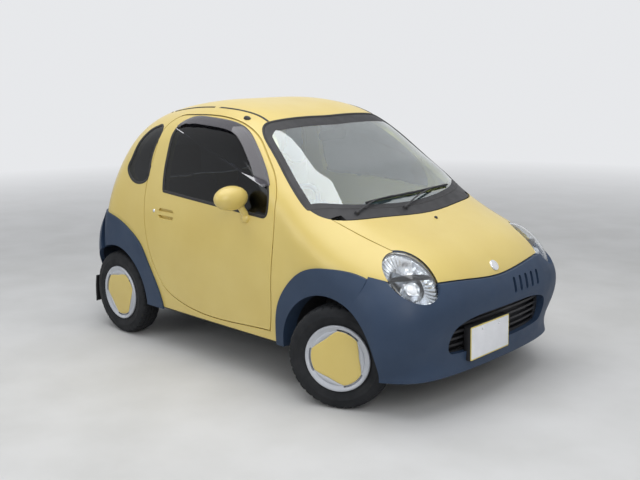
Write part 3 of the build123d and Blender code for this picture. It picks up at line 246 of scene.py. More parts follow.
def grid_faces(rows, cols, wrap_rows=False, wrap_cols=False, flip=False, first=0):
    """Four-sided faces between the neighbours of a grid of points laid row by row."""
    faces = []
    for j in range(rows if wrap_rows else rows - 1):
        here, above = first + j * cols, first + (j + 1) % rows * cols
        for k in range(cols if wrap_cols else cols - 1):
            m = (k + 1) % cols
            faces.append((here + k, above + k, above + m, here + m) if flip
                         else (here + k, here + m, above + m, above + k))
    return faces


def box_faces(first):
    """Faces of a box of eight points: four round the bottom, then the four above them."""
    a = first
    return [(a + 4, a + 5, a + 6, a + 7), (a, a + 3, a + 2, a + 1), (a, a + 1, a + 5, a + 4),
            (a + 1, a + 2, a + 6, a + 5), (a + 2, a + 3, a + 7, a + 6), (a + 3, a, a + 4, a + 7)]


def turned(profile, place, steps=96, closed=True):
    """Points and faces of a profile of (radius, y) points turned about the local Y axis."""
    points = []
    for k in range(steps):
        angle = 2 * math.pi * k / steps
        points += [place @ Vector((r * math.sin(angle), y, r * math.cos(angle))) for r, y in profile]
    return points, grid_faces(steps, len(profile), wrap_rows=True, wrap_cols=closed)


def placed(point, normal, forward=(1, 0, 0)):
    """Matrix whose Y axis leaves the surface at a point and whose Z axis looks forward along it."""
    y = Vector(normal).normalized()
    x = y.cross(Vector(forward)).normalized()
    z = x.cross(y)
    return Matrix(((x.x, y.x, z.x, point[0]), (x.y, y.y, z.y, point[1]), (x.z, y.z, z.z, point[2]),
                   (0, 0, 0, 1)))


def lathe(name, profile, place, body, made, steps=40, squeeze=1.0):
    """Open profile of (radius, height) turned about a place's Y axis; squeeze narrows it across."""
    points, faces = turned(profile, place @ Matrix.Scale(squeeze, 4, (1, 0, 0)), steps, closed=False)
    return piece(name, points, faces, body, made, 40)


def tube(name, path, radius, body, made, steps=12, flat=1.0):
    """Round bar along a path of points in mm, with rounded ends; flat squeezes it across the surface."""
    path = [Vector(p) for p in path]
    rings = [(path[0] - (path[1] - path[0]).normalized() * radius * 0.6, 0.35)]
    rings += [(p, 1.0) for p in path]
    rings += [(path[-1] + (path[-1] - path[-2]).normalized() * radius * 0.6, 0.35)]
    points = []
    for k, (centre, share) in enumerate(rings):
        ahead = (rings[min(k + 1, len(rings) - 1)][0] - rings[max(k - 1, 0)][0]).normalized()
        across = ahead.cross(Vector((0, 0, 1)))
        across = across.normalized() if across.length > 0.01 else Vector((1, 0, 0))
        over = across.cross(ahead).normalized()
        for i in range(steps):
            angle = 2 * math.pi * i / steps
            points.append(centre + across * (radius * share * math.cos(angle))
                          + over * (radius * share * flat * math.sin(angle)))
    faces = grid_faces(len(rings), steps, wrap_cols=True)
    faces.append(tuple(reversed(range(steps))))
    faces.append(tuple((len(rings) - 1) * steps + i for i in range(steps)))
    return piece(name, points, faces, body, made, 50)


def slab(name, width, height, depth, corner, place, body, made, bevel=1.2):
    """Rounded upright plate with softened edges, centred on a place whose X axis faces forwards."""
    points = []
    for inset, out in ((bevel, -0.5), (0.3 * bevel, -0.5 + 0.3 * bevel / depth), (0, -0.5 + bevel / depth),
                       (0, 0.5 - bevel / depth), (0.3 * bevel, 0.5 - 0.3 * bevel / depth), (bevel, 0.5)):
        for cx, cz, start in ((1, 1, 0), (-1, 1, 90), (-1, -1, 180), (1, -1, 270)):
            for k in range(7):
                angle = math.radians(start + 15 * k)
                y = cx * (width / 2 - corner) + (corner - inset) * math.cos(angle)
                z = cz * (height / 2 - corner) + (corner - inset) * math.sin(angle)
                points.append(place @ Vector((out * depth, y, z)))
    n = 4 * 7
    faces = [tuple(reversed(range(n))), tuple(5 * n + i for i in range(n))]
    return piece(name, points, faces + grid_faces(6, n, wrap_cols=True), body, made, 40)


def at(x, y, z):
    return Matrix.Translation((x, y, z))


def spin(degrees, axis):
    return Matrix.Rotation(math.radians(degrees), 4, axis)


def surface(*names):
    """Search tree of the named CAD nodes' surfaces."""
    points, faces = [], []
    for name in names:
        mesh = nodes[name].data
        start = len(points)
        points += [v.co.copy() for v in mesh.vertices]
        faces += [[start + i for i in p.vertices] for p in mesh.polygons]
    return BVHTree.FromPolygons(points, faces)


def cast(tree, origin, direction):
    """First point of the surface along a ray, in mm, with the normal that faces the ray."""
    direction = Vector(direction).normalized()
    hit, normal, _, _ = tree.ray_cast(Vector(origin) / 1000, direction)
    if hit is None:
        return None
    if normal.dot(direction) > 0:
        normal = -normal
    return hit * 1000, normal


def smooth_line(points, steps=6, closed=False):
    """Catmull-Rom curve through 2-D or 3-D points."""
    pts = [Vector(p) for p in points]
    n = len(pts)
    result = []
    for i in range(n if closed else n - 1):
        p1, p2 = pts[i], pts[(i + 1) % n]
        p0 = pts[i - 1] if closed or i > 0 else p1 * 2 - p2
        p3 = pts[(i + 2) % n] if closed or i + 2 < n else p2 * 2 - p1
        for k in range(steps):
            t = k / steps
            result.append(0.5 * (2 * p1 + (p2 - p0) * t + (2 * p0 - 5 * p1 + 4 * p2 - p3) * t * t
                                 + (3 * p1 - p0 - 3 * p2 + p3) * t ** 3))
    if not closed:
        result.append(pts[-1])
    return result


# Tyres: rounded side walls with ribs, and a tread of grooves and blocks

TREAD_HALF, GROOVE_RADIUS = 54.0, 252.0


def tyre_profile():
    wall = [(152.3, 50.5), (158, 52.5), (164, 54.8), (166, 56.6), (168, 56.8), (170, 56.0), (182, 62.5),
            (195, 66.4), (207, 67.6), (209, 68.3), (211, 68.3), (213, 67.4), (226, 66.0), (236, 64.6),
            (243, 61.6), (246.5, 60.8), (249, 58.6), (253, TREAD_HALF)]
    tread = []
    for y0, y1 in ((TREAD_HALF, 34.0), (30.0, 12.0), (8.0, -8.0), (-12.0, -30.0), (-34.0, -TREAD_HALF)):
        for y in (y0, y1):
            tread.append((TYRE_RADIUS - 7.0 * (abs(y) / TREAD_HALF) ** 2.2, y))
        if y1 > -TREAD_HALF:
            tread += [(GROOVE_RADIUS, y1 - 0.6), (GROOVE_RADIUS, y1 - 3.4)]
    return wall + tread[1:-1] + [(r, -y) for r, y in reversed(wall)]


def make_tyre(name, place):
    """Turned tyre with notches sunk across the shoulders and the middle ribs at even steps."""
    profile = tyre_profile()
    points, faces = turned(profile, Matrix.Identity(4), 180)
    shaped = []
    for index, p in enumerate(points):
        step = index // len(profile)
        radius, y = math.hypot(p[0], p[2]), abs(p[1])
        drop = 0.0
        if radius > 244 and y > 33 and step % 5 == 0:
            drop = 5.0 if y < 60 else 2.5
        elif radius > 250 and y < 31 and step % 5 == 2:
            drop = 2.5
        share = 1 - drop / radius
        shaped.append(place @ Vector((p[0] * share, p[1], p[2] * share)))
    made_object = piece(f"tyre_skin_{name}", shaped, faces, f"wheel_{name}", rubber, 28)
    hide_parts(f"tyre_{name}")


# Wheel covers: yellow plate with three scallops, silver petals and the valve

COVER_RADIUS, SCALLOP_RADIUS, SCALLOP_HALF, SCALLOP_POWER = 137.0, 110.0, 37.0, 1.8
SCALLOPS = (60, 180, 300)
COVER_FACE_Y, VALVE_RADIUS = 61.5, 142.5


def cover_plate(name, place):
    outline = []
    for k in range(180):
        angle = math.radians(2 * k)
        reach = COVER_RADIUS
        for middle in SCALLOPS:
            away = (math.degrees(angle) - middle + 180) % 360 - 180
            if abs(away) < SCALLOP_HALF:
                rim = (abs(away) / SCALLOP_HALF) ** SCALLOP_POWER
                reach = min(reach, SCALLOP_RADIUS + (COVER_RADIUS - SCALLOP_RADIUS) * rim)
        outline.append((reach, angle))
    rings = [(0.35, 3.1), (0.7, 2.6), (0.9, 2.0), (0.97, 1.5), (0.99, 0.6), (1.0, -0.8), (1.0, -2.5)]
    points = [place @ Vector((0, COVER_FACE_Y + 3.2, 0))]
    for share, rise in rings:
        for reach, angle in outline:
            points.append(place @ Vector((reach * share * math.sin(angle), COVER_FACE_Y + rise,
                                          reach * share * math.cos(angle))))
    n = len(outline)
    faces = [(0, 1 + k, 1 + (k + 1) % n) for k in range(n)]
    faces += grid_faces(len(rings), n, wrap_cols=True, flip=True, first=1)
    piece(f"cover_plate_{name}", points, faces, f"wheel_{name}", paint, 40)


def petals(name, place):
    points, faces = [], []
    steps, half = 24, 33.0
    for middle in SCALLOPS:
        faces += grid_faces(steps + 1, 7, flip=True, first=len(points))
        for k in range(steps + 1):
            away = -half + 2 * half * k / steps
            angle = math.radians(middle + away)
            low = SCALLOP_RADIUS + 3.5 + 23.0 * (abs(away) / SCALLOP_HALF) ** SCALLOP_POWER
            high = COVER_RADIUS - 0.5
            belly = max(0.0, 1 - (away / half) ** 2)
            for j in range(7):
                r = low + (high - low) * j / 6
                rise = COVER_FACE_Y - 0.9 + 2.6 * math.sin(math.pi * j / 6) * belly ** 0.5
                points.append(place @ Vector((r * math.sin(angle), rise, r * math.cos(angle))))
    thicken(piece(f"cover_petals_{name}", points, faces, f"wheel_{name}", silver, 60), 1.2)


VALVE = [(0.0, 66.4), (2.2, 66.3), (3.0, 65.4), (3.0, 60.0), (4.2, 59.0), (4.6, 50.0)]
for name, place in WHEELS.items():
    make_tyre(name, place)
    cover_plate(name, place)
    petals(name, place)
    lathe(f"valve_{name}", VALVE, place @ at(0, 0, VALVE_RADIUS), f"wheel_{name}", black, 20)


# Loops round the outer skins of the panes

def skin_of(name, outward):
    """Merged outer skin of a CAD node: its search tree and its edge loops as (point, normal) lists in mm."""
    made = bmesh.new()
    made.from_mesh(nodes[name].data)
    bmesh.ops.remove_doubles(made, verts=made.verts, dist=0.00002)
    made.faces.ensure_lookup_table()
    outward = Vector(outward)
    facing = [face for face in made.faces if face.normal.dot(outward.normalized()) > 0.5]
    seed = max(facing, key=lambda face: face.calc_area())
    skin, todo = {seed}, [seed]
    while todo:
        face = todo.pop()
        for edge in face.edges:
            for other in edge.link_faces:
                if other not in skin and abs(other.normal.dot(face.normal)) > 0.86:
                    skin.add(other)
                    todo.append(other)
    sign = 1 if seed.normal.dot(outward) > 0 else -1
    ends, normals = {}, {}
    for face in skin:
        for vert in face.verts:
            normals[vert.index] = normals.get(vert.index, Vector()) + face.normal * sign
        for edge in face.edges:
            if sum(other in skin for other in edge.link_faces) == 1:
                a, b = edge.verts[0].index, edge.verts[1].index
                ends.setdefault(a, []).append(b)
                ends.setdefault(b, []).append(a)
    made.verts.ensure_lookup_table()
    loops, seen = [], set()
    for first in sorted(ends):
        if first in seen:
            continue
        loop, here = [first], first
        seen.add(first)
        while True:
            ahead = [i for i in ends[here] if i not in seen]
            if not ahead:
                break
            here = ahead[0]
            seen.add(here)
            loop.append(here)
        loops.append([(made.verts[i].co * 1000, normals[i].normalized()) for i in loop])
    loops.sort(key=len, reverse=True)
    points = [v.co.copy() for v in made.verts]
    faces = [[v.index for v in face.verts] for face in skin]
    made.free()
    return BVHTree.FromPolygons(points, faces), loops


def nearest(tree, point):
    hit, normal, _, _ = tree.find_nearest(Vector(point) / 1000)
    return hit * 1000, normal


def even_loop(loop, count):
    """The loop's (point, normal) pairs at equal steps, a little smoothed."""
    points = [p for p, _ in loop]
    lengths = [0.0]
    for i in range(len(points)):
        lengths.append(lengths[-1] + (points[(i + 1) % len(points)] - points[i]).length)
    result, i = [], 0
    for k in range(count):
        target = lengths[-1] * k / count
        while lengths[i + 1] < target:
            i += 1
        share = (target - lengths[i]) / max(lengths[i + 1] - lengths[i], 1e-9)
        j = (i + 1) % len(points)
        result.append((points[i].lerp(points[j], share), loop[i][1].lerp(loop[j][1], share).normalized()))
    normals = [n for _, n in result]
    return [(p, (normals[k - 1] + normals[k] * 2 + normals[(k + 1) % count]).normalized())
            for k, (p, _) in enumerate(result)]


def frames_of(loop, closed=True):
    """Point, normal and outward side of each place on a loop round a pane."""
    middle = sum((p for p, _ in loop), Vector()) / len(loop)
    count = len(loop)
    frames = []
    for k, (point, normal) in enumerate(loop):
        before = loop[k - 1][0] if closed or k else point
        after = loop[(k + 1) % count][0] if closed or k + 1 < count else point
        side = (after - before).normalized().cross(normal).normalized()
        frames.append([point, normal, side])
    votes = sum(1 if f[2].dot(f[0] - middle) > 0 else -1 for f in frames)
    if votes < 0:
        for f in frames:
            f[2] = -f[2]
    return frames


def frames_along(spots):
    """Point, normal and side of each place on an open line of (point, normal) pairs."""
    frames = []
    for k, (point, normal) in enumerate(spots):
        ahead = (spots[min(k + 1, len(spots) - 1)][0] - spots[max(k - 1, 0)][0]).normalized()
        frames.append((point, normal, ahead.cross(normal).normalized()))
    return frames


def swept_profile(name, frames, profile, body, made, closed=True):
    """A closed profile of (side, lift) pairs carried along frames; open runs get end caps."""
    points = []
    count = len(frames)
    for k, (point, normal, side) in enumerate(frames):
        shape = profile(k / max(count - 1, 1)) if callable(profile) else profile
        width = len(shape)
        points += [point + side * offset + normal * lift for offset, lift in shape]
    faces = grid_faces(count, width, wrap_rows=closed, wrap_cols=True, flip=True)
    if not closed:
        faces.append(tuple(range(width)))
        faces.append(tuple((count - 1) * width + i for i in reversed(range(width))))
    return piece(name, points, faces, body, made, 50)


def laid_band(name, frames, inner, outer, lift, tree, body, made, rows=5):
    """Thin band on a pane, between two distances from its edge, laid on the surface."""
    points = []
    for point, normal, side in frames:
        far = outer(point) if callable(outer) else outer
        for j in range(rows):
            found, _ = nearest(tree, point + side * (inner + (far - inner) * j / (rows - 1)))
            points.append(found + normal * lift)
    faces = grid_faces(len(frames), rows, wrap_rows=True, flip=True)
    return piece(name, points, faces, body, made, 60)


SEAL = [(-8, 0.2), (-7, 2.2), (-3, 5.2), (3, 6.4), (7, 5.6), (8.5, 4.2), (8.5, 1.0), (0, -1.5), (-8, -1.5)]
VISOR_FOOT_Z, VISOR_REAR_X, VISOR_TOP_Z = 1040, -478, 1150


def visor_shape(share):
    """The visor's section at a share of its length: it grows from both ends."""
    reach = 58 * min(1, share * 12 + 0.25, (1 - share) * 7 + 0.15)
    lift = 17 * min(1, share * 12 + 0.35, (1 - share) * 9 + 0.35)
    fold = 0.55 * (lift - 8)
    return [(15, 4.4), (14, 6.6), (4, 9.5), (-0.4 * reach, 9.5 + fold), (-reach, lift),
            (-reach, lift - 2.4), (-0.4 * reach, 7.2 + fold), (4, 7.2), (12, 4.4)]


for side, sign in SIDES:
    _, loops = skin_of(f"door_glass_{side}", (0, sign, 0))
    frames = frames_of(even_loop(loops[0], 200))
    swept_profile(f"window_seal_{side}", frames, SEAL, f"door_{side}", seal)
    top = [f for f in frames if f[0].z > VISOR_FOOT_Z and f[0].x > VISOR_REAR_X
           and (f[0].z > VISOR_TOP_Z or f[0].x > 0)]
    first = min(range(len(top)), key=lambda i: top[i][0].x - 0.0001 * top[i][0].z)
    top = top[first:] + top[:first]
    start, after, before = top[0][0], top[1][0], top[-1][0]
    if after.x < before.x - 5 and (after - start).length > (before - start).length:
        top = [top[0]] + top[:0:-1]
    swept_profile(f"visor_{side}", top, visor_shape, f"door_{side}", visor_mat, closed=False)

for side, sign in SIDES:
    _, loops = skin_of("quarter_glass", (0, sign, 0))
    frames = frames_of(even_loop(loops[0], 90))
    swept_profile(f"quarter_seal_{side}", frames, SEAL, "chassis", seal)


# Windscreen and hatch: dark ceramic bands, and a rubber moulding round the windscreen

screen_tree, screen_loops = skin_of("windshield", (1, 0, 1))
screen_frames = frames_of(even_loop(screen_loops[0], 280))


def screen_width(point):
    top = max(0.0, min(1.0, (point.z - 1270) / 60))
    low = max(0.0, min(1.0, (985 - point.z) / 30))
    return -(38 + 46 * top - 4 * low)


laid_band("screen_band", screen_frames, 0.5, screen_width, 0.5, screen_tree, "chassis", black)
MOULDING = [(-6, 0.2), (-5, 2.6), (-1, 4.6), (4, 5.4), (7, 4.6), (7, 1.0), (0, -1.0), (-6, -1.0)]
swept_profile("screen_moulding", screen_frames, MOULDING, "chassis", seal)

hatch_tree, hatch_loops = skin_of("rear_hatch", (-1, 0, 0.4))
hatch_frames = frames_of(even_loop(hatch_loops[0], 260))
laid_band("hatch_band", hatch_frames, -0.5, -30, 0.6, hatch_tree, "hatch", black)


# Roof ditch strips and the aerial's base

roof_tree = surface("roof_panel", "body_side_right", "body_side_left")
DITCH = [(141, 425, 1341), (49, 420, 1377), (-62, 426, 1397), (-195, 433, 1407), (-375, 439, 1408),
         (-544, 433, 1397), (-720, 424, 1365)]
STRIP = [(-7, -0.6), (-6.4, 1.2), (-3.5, 2.4), (3.5, 2.4), (6.4, 1.2), (7, -0.6), (0, -1.5)]


def under(tree, x, y):
    """Top surface of a tree at a place seen from above."""
    return cast(tree, (x, y, 2500), (0, 0, -1))


for side, sign in SIDES:
    line = smooth_line([(x, sign * y, z) for x, y, z in DITCH], 10)
    spots = [under(roof_tree, p[0], p[1]) for p in line]
    swept_profile(f"roof_strip_{side}", frames_along([spot for spot in spots if spot]), STRIP, "chassis",
                  black, closed=False)

AERIAL = [(0, 13), (8, 12.6), (15, 10.5), (20, 6.5), (23, 2.0), (24.5, 0.8), (24.5, -3)]
lathe("aerial_base", AERIAL, placed(*under(roof_tree, 19, -475)), "chassis", black,
      squeeze=0.62)


# Badge disc, washer nozzle, door locks and the mirrors' glass

bonnet_tree = surface("bonnet", "front_bumper")
BADGE = [(0, 5.6), (13, 5.3), (20, 4.6), (21.5, 3.2), (23.5, 3.4), (25.5, 4.4), (27.5, 4.2), (28.8, 2.6),
         (29, -4)]
spot = cast(bonnet_tree, (1600, 0, 661), (-1, 0, 0))
lathe("badge_disc", BADGE, placed(*spot, forward=(0, 0, 1)), "bonnet", chrome, 64)
NOZZLE = [(0, 9), (5, 8.6), (8.5, 6.6), (10.5, 3.0), (11, -1.5)]
lathe("washer_nozzle", NOZZLE, placed(*under(bonnet_tree, 950, -15)), "bonnet", black, 28, 0.7)

LOCK = [(0, 1.2), (2.0, 1.2), (2.2, 2.6), (7.6, 2.9), (9.4, 2.2), (10.2, 0.8), (10.4, -2)]
MIRROR_RIM = [(60.0, 0.2), (61.0, 2.4), (63.5, 2.6), (66.0, 1.6), (66.4, -1.5)]
MIRROR_GLASS = [(0, 1.3), (30, 1.2), (58.6, 1.0), (60.5, 0.6), (60.8, -1.0)]
for side, sign in SIDES:
    body = f"door_{side}"
    spot = cast(surface(body), (-559, sign * 1500, 822), (0, -sign, 0))
    lathe(f"door_lock_{side}", LOCK, placed(*spot), body, chrome, 32)
    oval = (at(208.3, sign * 795, 985) @ spin(90, "Z") @ Matrix.Scale(1.22, 4, (1, 0, 0))
            @ Matrix.Scale(0.76, 4, (0, 0, 1)))
    lathe(f"mirror_rim_{side}", MIRROR_RIM, oval, body, black, 72)
    lathe(f"mirror_glass_{side}", MIRROR_GLASS, oval, body, chrome, 72)


# Wipers, parked along the foot of the windscreen

glass_foot = surface("windshield", "cowl_panel")
WIPERS = (((782, -440), [(742, -330), (739, -200), (737, -60), (734, 60)]),
          ((830, -120), [(738, 20), (732, 160), (724, 290), (712, 400)]))
PIVOT = [(0, 17), (7, 16.4), (10, 14), (11.5, 9), (13.5, 3), (15, -2)]
BLADE = [(-2.0, 1.0), (-3.5, 6.0), (-6.0, 8.0), (-5.0, 12.0), (0, 14.5), (5.0, 12.0), (6.0, 8.0), (3.5, 6.0),
         (2.0, 1.0)]
for index, (pivot, blade) in enumerate(WIPERS):
    base = under(glass_foot, *pivot)
    lathe(f"wiper_pivot_{index}", PIVOT, placed(*base), "chassis", black, 28)
    along = [under(glass_foot, *spot) for spot in smooth_line(blade, 8)]
    swept_profile(f"wiper_blade_{index}", frames_along(along), BLADE, "chassis", black,
                  closed=False)
    half = along[len(along) * 5 // 9]
    mid = (base[0] + half[0]) / 2
    arm = [base[0] + base[1] * 13, under(glass_foot, mid.x, mid.y)[0] + Vector((0, 0, 22)),
           half[0] + half[1] * 15]
    tube(f"wiper_arm_{index}", smooth_line(arm, 8), 5.5, "chassis", black, flat=0.55)


# Number plate: bare, in a black holder ahead of the mouth, and the radiator behind it

PLATE_PLACE = at(1364.8, -114, 331) @ spin(-1, "Y")
slab("plate_holder", 336, 172, 36, 8, PLATE_PLACE @ at(-22, 0, 0), "chassis", black)
slab("plate_edge", 332, 166, 2.4, 8, PLATE_PLACE @ at(-2.6, 0, 0), "chassis", yellow_edge)
slab("plate_face", 320, 154, 2.2, 5, PLATE_PLACE @ at(-1.2, 0, 0), "chassis", white)
for side, y in (("right", -70), ("left", 70)):
    lathe(f"plate_bolt_{side}", [(0, 2.4), (4.5, 2.2), (6, 1.2), (6.2, -0.5)],
          PLATE_PLACE @ at(0, y, 58) @ spin(-90, "Z"), "chassis", chrome, 20)
slab("radiator", 860, 260, 18, 24, at(1258, 0, 350), "chassis", black, 3)


# Inside the headlamps: level divider, projector, upper bowl and bulb, flutes, and the rim round the lens

LAMP_LONG, LAMP_SHORT, LENS_RISE, FLUTE_DEPTH = 180.0, 130.0, 90.0, 46.2
LAMP_RIM = [(-4, -2), (-3.5, 2.6), (-1, 4.2), (2, 3.6), (3.2, 1), (3, -3)]
LAMP_FITTINGS = (
    ("projector", -52, [(24, 22), (26, 40), (33, 44), (37, 42), (39, 34), (44, 12), (46, 0)], lamp_chrome),
    ("projector_lens", -52, [(0, 56), (9, 55), (17, 51), (23, 45), (25.5, 40), (25.5, 34)], lamp_clear),
    ("bowl", 50, [(0, 2), (13, 4), (26, 10), (38, 20), (46, 32), (48.5, 34), (50, 31), (50, 20)],
     lamp_chrome),
    ("bulb", 50, [(0, 36), (5, 35), (7.5, 31), (8, 24), (6, 14), (6, 3)], white))
for side, sign in SIDES:
    middle = Vector((1158, sign * 508, 641))
    out = Vector((0.615, sign * 0.398, 0.681)).normalized()
    level = out.cross(Vector((0, 0, 1))).normalized()
    rise = level.cross(out)
    rise = rise if rise.z > 0 else -rise
    long_axis = Vector((0.768, -sign * 0.103, -0.632))
    long_axis = (long_axis - out * long_axis.dot(out)).normalized()
    short_axis = out.cross(long_axis)

    points = []
    steps = 40
    for k in range(steps + 1):
        spot = level * (-118 + 236 * k / steps)
        inside = 1 - (spot.dot(long_axis) / LAMP_LONG) ** 2 - (spot.dot(short_axis) / LAMP_SHORT) ** 2
        top = max(LENS_RISE * math.sqrt(max(inside, 0.0)) - 11, 31)
        for b, c in ((-3.5, 26), (-2.6, top - 1.5), (-1.2, top), (1.2, top), (2.6, top - 1.5), (3.5, 26)):
            points.append(middle + spot + rise * b + out * c)
    faces = grid_faces(steps + 1, 6, wrap_cols=True)
    faces += [tuple(range(6)), tuple(steps * 6 + i for i in reversed(range(6)))]
    piece(f"lamp_divider_{side}", points, faces, "chassis", black)

    for label, b, profile, made in LAMP_FITTINGS:
        lathe(f"lamp_{label}_{side}", profile, placed(middle + rise * b, out, forward=rise), "chassis",
              made, 48)

    flutes = []
    rows, cols = 10, 72
    for j in range(rows + 1):
        share = 0.55 + 0.40 * j / rows
        sink = FLUTE_DEPTH * math.sqrt(max(1 - share * share, 0))
        for k in range(cols):
            angle = 2 * math.pi * k / cols
            spot = (long_axis * (LAMP_LONG * share * math.cos(angle))
                    + short_axis * (LAMP_SHORT * share * math.sin(angle)))
            flutes.append(middle + spot * 0.93 + out * (24 - sink + 2.0 * math.cos(k * math.pi)))
    faces = grid_faces(rows + 1, cols, wrap_cols=True)
    thicken(piece(f"lamp_flutes_{side}", flutes, faces, "chassis", lamp_chrome, 25), 1.0)

    loop = []
    for k in range(120):
        angle = 2 * math.pi * k / 120
        spot = long_axis * (171.5 * math.cos(angle)) + short_axis * (124.5 * math.sin(angle))
        loop.append((middle + spot + out * 31, out))
    swept_profile(f"lamp_rim_{side}", frames_of(loop), LAMP_RIM, "chassis", slate)


# Flaps behind the rear wheels

for side, sign in SIDES:
    points = []
    for j in range(13):
        for k in range(9):
            bow = 9 * math.sin(math.pi * j / 12) + 16 * (j / 12) ** 2
            x = -1262 - bow + 5 * math.cos(math.pi * k / 8) ** 2
            points.append((x, sign * (575 + 118 * k / 8), 318 - 172 * j / 12))
    thicken(piece(f"mud_flap_{side}", points, grid_faces(13, 9), "chassis", seal, 40), 4.0, 0.0)


# Cabin: instruments, vents, levers and the inside mirror

points = []
for j in range(9):
    width = 132 - 26 * (j / 8) ** 2
    height = 66 - 40 * (j / 8) ** 2
    for k in range(25):
        angle = math.pi * k / 24
        points.append((338 + 118 * j / 8, -SEAT_Y + width * math.cos(angle),
                       862 + height * math.sin(angle) ** 0.8))
hood = piece("instrument_hood", points, grid_faces(9, 25), "chassis", cabin_grey, 50)
thicken(hood, 5.0, 0.0)

DIAL = [(0, 0.6), (0.86, 0.6), (0.88, 2.4), (0.93, 4.6), (0.98, 4.8), (1.0, 3.0), (1.0, -6)]
TICKS = 25
for index, (y, z, radius) in enumerate(((-330, 884, 41), (-394, 878, 25), (-266, 878, 25))):
    face = at(352, y, z) @ spin(90, "Z")
    lathe(f"dial_{index}", [(r * radius, h) for r, h in DIAL], face, "chassis", black, 48)
    ticks, faces = [], []
    for k in range(TICKS):
        faces += box_faces(len(ticks))
        angle = math.radians(-130 + 260 * k / (TICKS - 1))
        inner, thick = (0.62, 0.032) if k % 4 == 0 else (0.72, 0.018)
        for h in (0.7, 1.3):
            for r, s in ((inner, -thick), (inner, thick), (0.82, thick), (0.82, -thick)):
                ticks.append(face @ Vector((radius * (r * math.sin(angle) + s * math.cos(angle)), h,
                                            radius * (r * math.cos(angle) - s * math.sin(angle)))))
    piece(f"dial_ticks_{index}", ticks, faces, "chassis", white, 30)

VENT, VENT_RADIUS = [(34, -4), (34.5, 3), (37, 6), (41, 6.4), (44, 4), (45, -3)], 34
for index, y in enumerate((-565, -105, 105, 565)):
    face = at(338, y, 790) @ spin(90, "Z")
    lathe(f"vent_{index}", VENT, face, "chassis", black, 48)
    fins, faces = [], []
    for z in range(-27, 28, 9):
        faces += box_faces(len(fins))
        reach = math.sqrt(VENT_RADIUS ** 2 - z ** 2)
        for t in (-0.9, 0.9):
            for s, h in ((-1, -3), (1, -3), (1, 3), (-1, 3)):
                fins.append(face @ Vector((s * reach, h, z + t + h * 0.4)))
    piece(f"vent_fins_{index}", fins, faces, "chassis", cabin_grey, 30)

lathe("gear_boot", [(0, 78), (11, 76), (15, 60), (26, 44), (25, 38), (38, 22), (37, 16), (52, 2), (54, -2)],
      placed((60, 0, 242), (0, 0, 1)), "chassis", grip, 40)
tube("gear_lever", smooth_line([(60, 0, 300), (52, 0, 360), (36, 0, 412)], 6), 6.5, "chassis",
     chrome)
lathe("gear_knob", [(0, 26), (10, 25), (18, 19), (21, 8), (19, -6), (11, -20), (8, -26), (0, -26)],
      placed((32, 0, 428), (-0.25, 0, 1)), "chassis", cabin_grey, 36)
tube("hand_brake", smooth_line([(-190, 0, 262), (-240, 0, 300), (-300, 0, 322), (-400, 0, 356)], 6), 13,
     "chassis", cabin_grey, 16)
inner_mirror = at(222, -20, 1252) @ spin(12, "Y")
slab("inner_mirror", 214, 58, 16, 26, inner_mirror, "chassis", black, 4)
slab("inner_mirror_glass", 202, 46, 2, 20, inner_mirror @ at(-8.4, 0, 0), "chassis", chrome, 0.8)
tube("inner_mirror_stalk", smooth_line([(226, -20, 1256), (226, -10, 1290), (214, 0, 1312)], 6), 6, "chassis",
     black)


# Seats: cushion, back and head rest puffed up as cloth, then sewn with channels

CLOTH_STEPS = 20


def prism_points(outline, y0, y1):
    """Closed prism of an (x, z) outline between two widths."""
    n = len(outline)
    points = [(x, y0, z) for x, z in outline] + [(x, y1, z) for x, z in outline]
    faces = [tuple(range(n)), tuple(n + i for i in reversed(range(n)))]
    faces += [(i, n + i, n + (i + 1) % n, (i + 1) % n) for i in range(n)]
    return points, faces


def finished_pad(name, mesh):
    """A puffed mesh as its own piece on the chassis, smoothed by one level of subdivision."""
    pad = bpy.data.objects.new(name, mesh)
    bpy.context.scene.collection.objects.link(pad)
    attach(pad, "chassis")
    smooth = pad.modifiers.new("subdivision", "SUBSURF")
    smooth.levels = smooth.render_levels = 1
    return pad


def shaped_mesh(made_object):
    """The mesh of an object as its modifiers leave it."""
    return bpy.data.meshes.new_from_object(made_object.evaluated_get(bpy.context.evaluated_depsgraph_get()))


def settled(draft):
    """The mesh that a draft's cloth takes under a little pressure from inside."""
    step = draft.modifiers.new("cloth", "CLOTH")
    settings = step.settings
    settings.quality = 5
    settings.mass = 0.4
    settings.tension_stiffness = 25
    settings.compression_stiffness = 25
    settings.shear_stiffness = 8
    settings.bending_stiffness = 1.5
    settings.use_pressure = True
    settings.uniform_pressure_force = 4
    settings.effector_weights.gravity = 0
    step.collision_settings.use_collision = False
    step.point_cache.frame_start = 1
    step.point_cache.frame_end = CLOTH_STEPS
    for number in range(1, CLOTH_STEPS + 1):
        bpy.context.scene.frame_set(number)
    mesh = shaped_mesh(draft)
    draft.modifiers.clear()
    bpy.context.scene.frame_set(1)
    return mesh


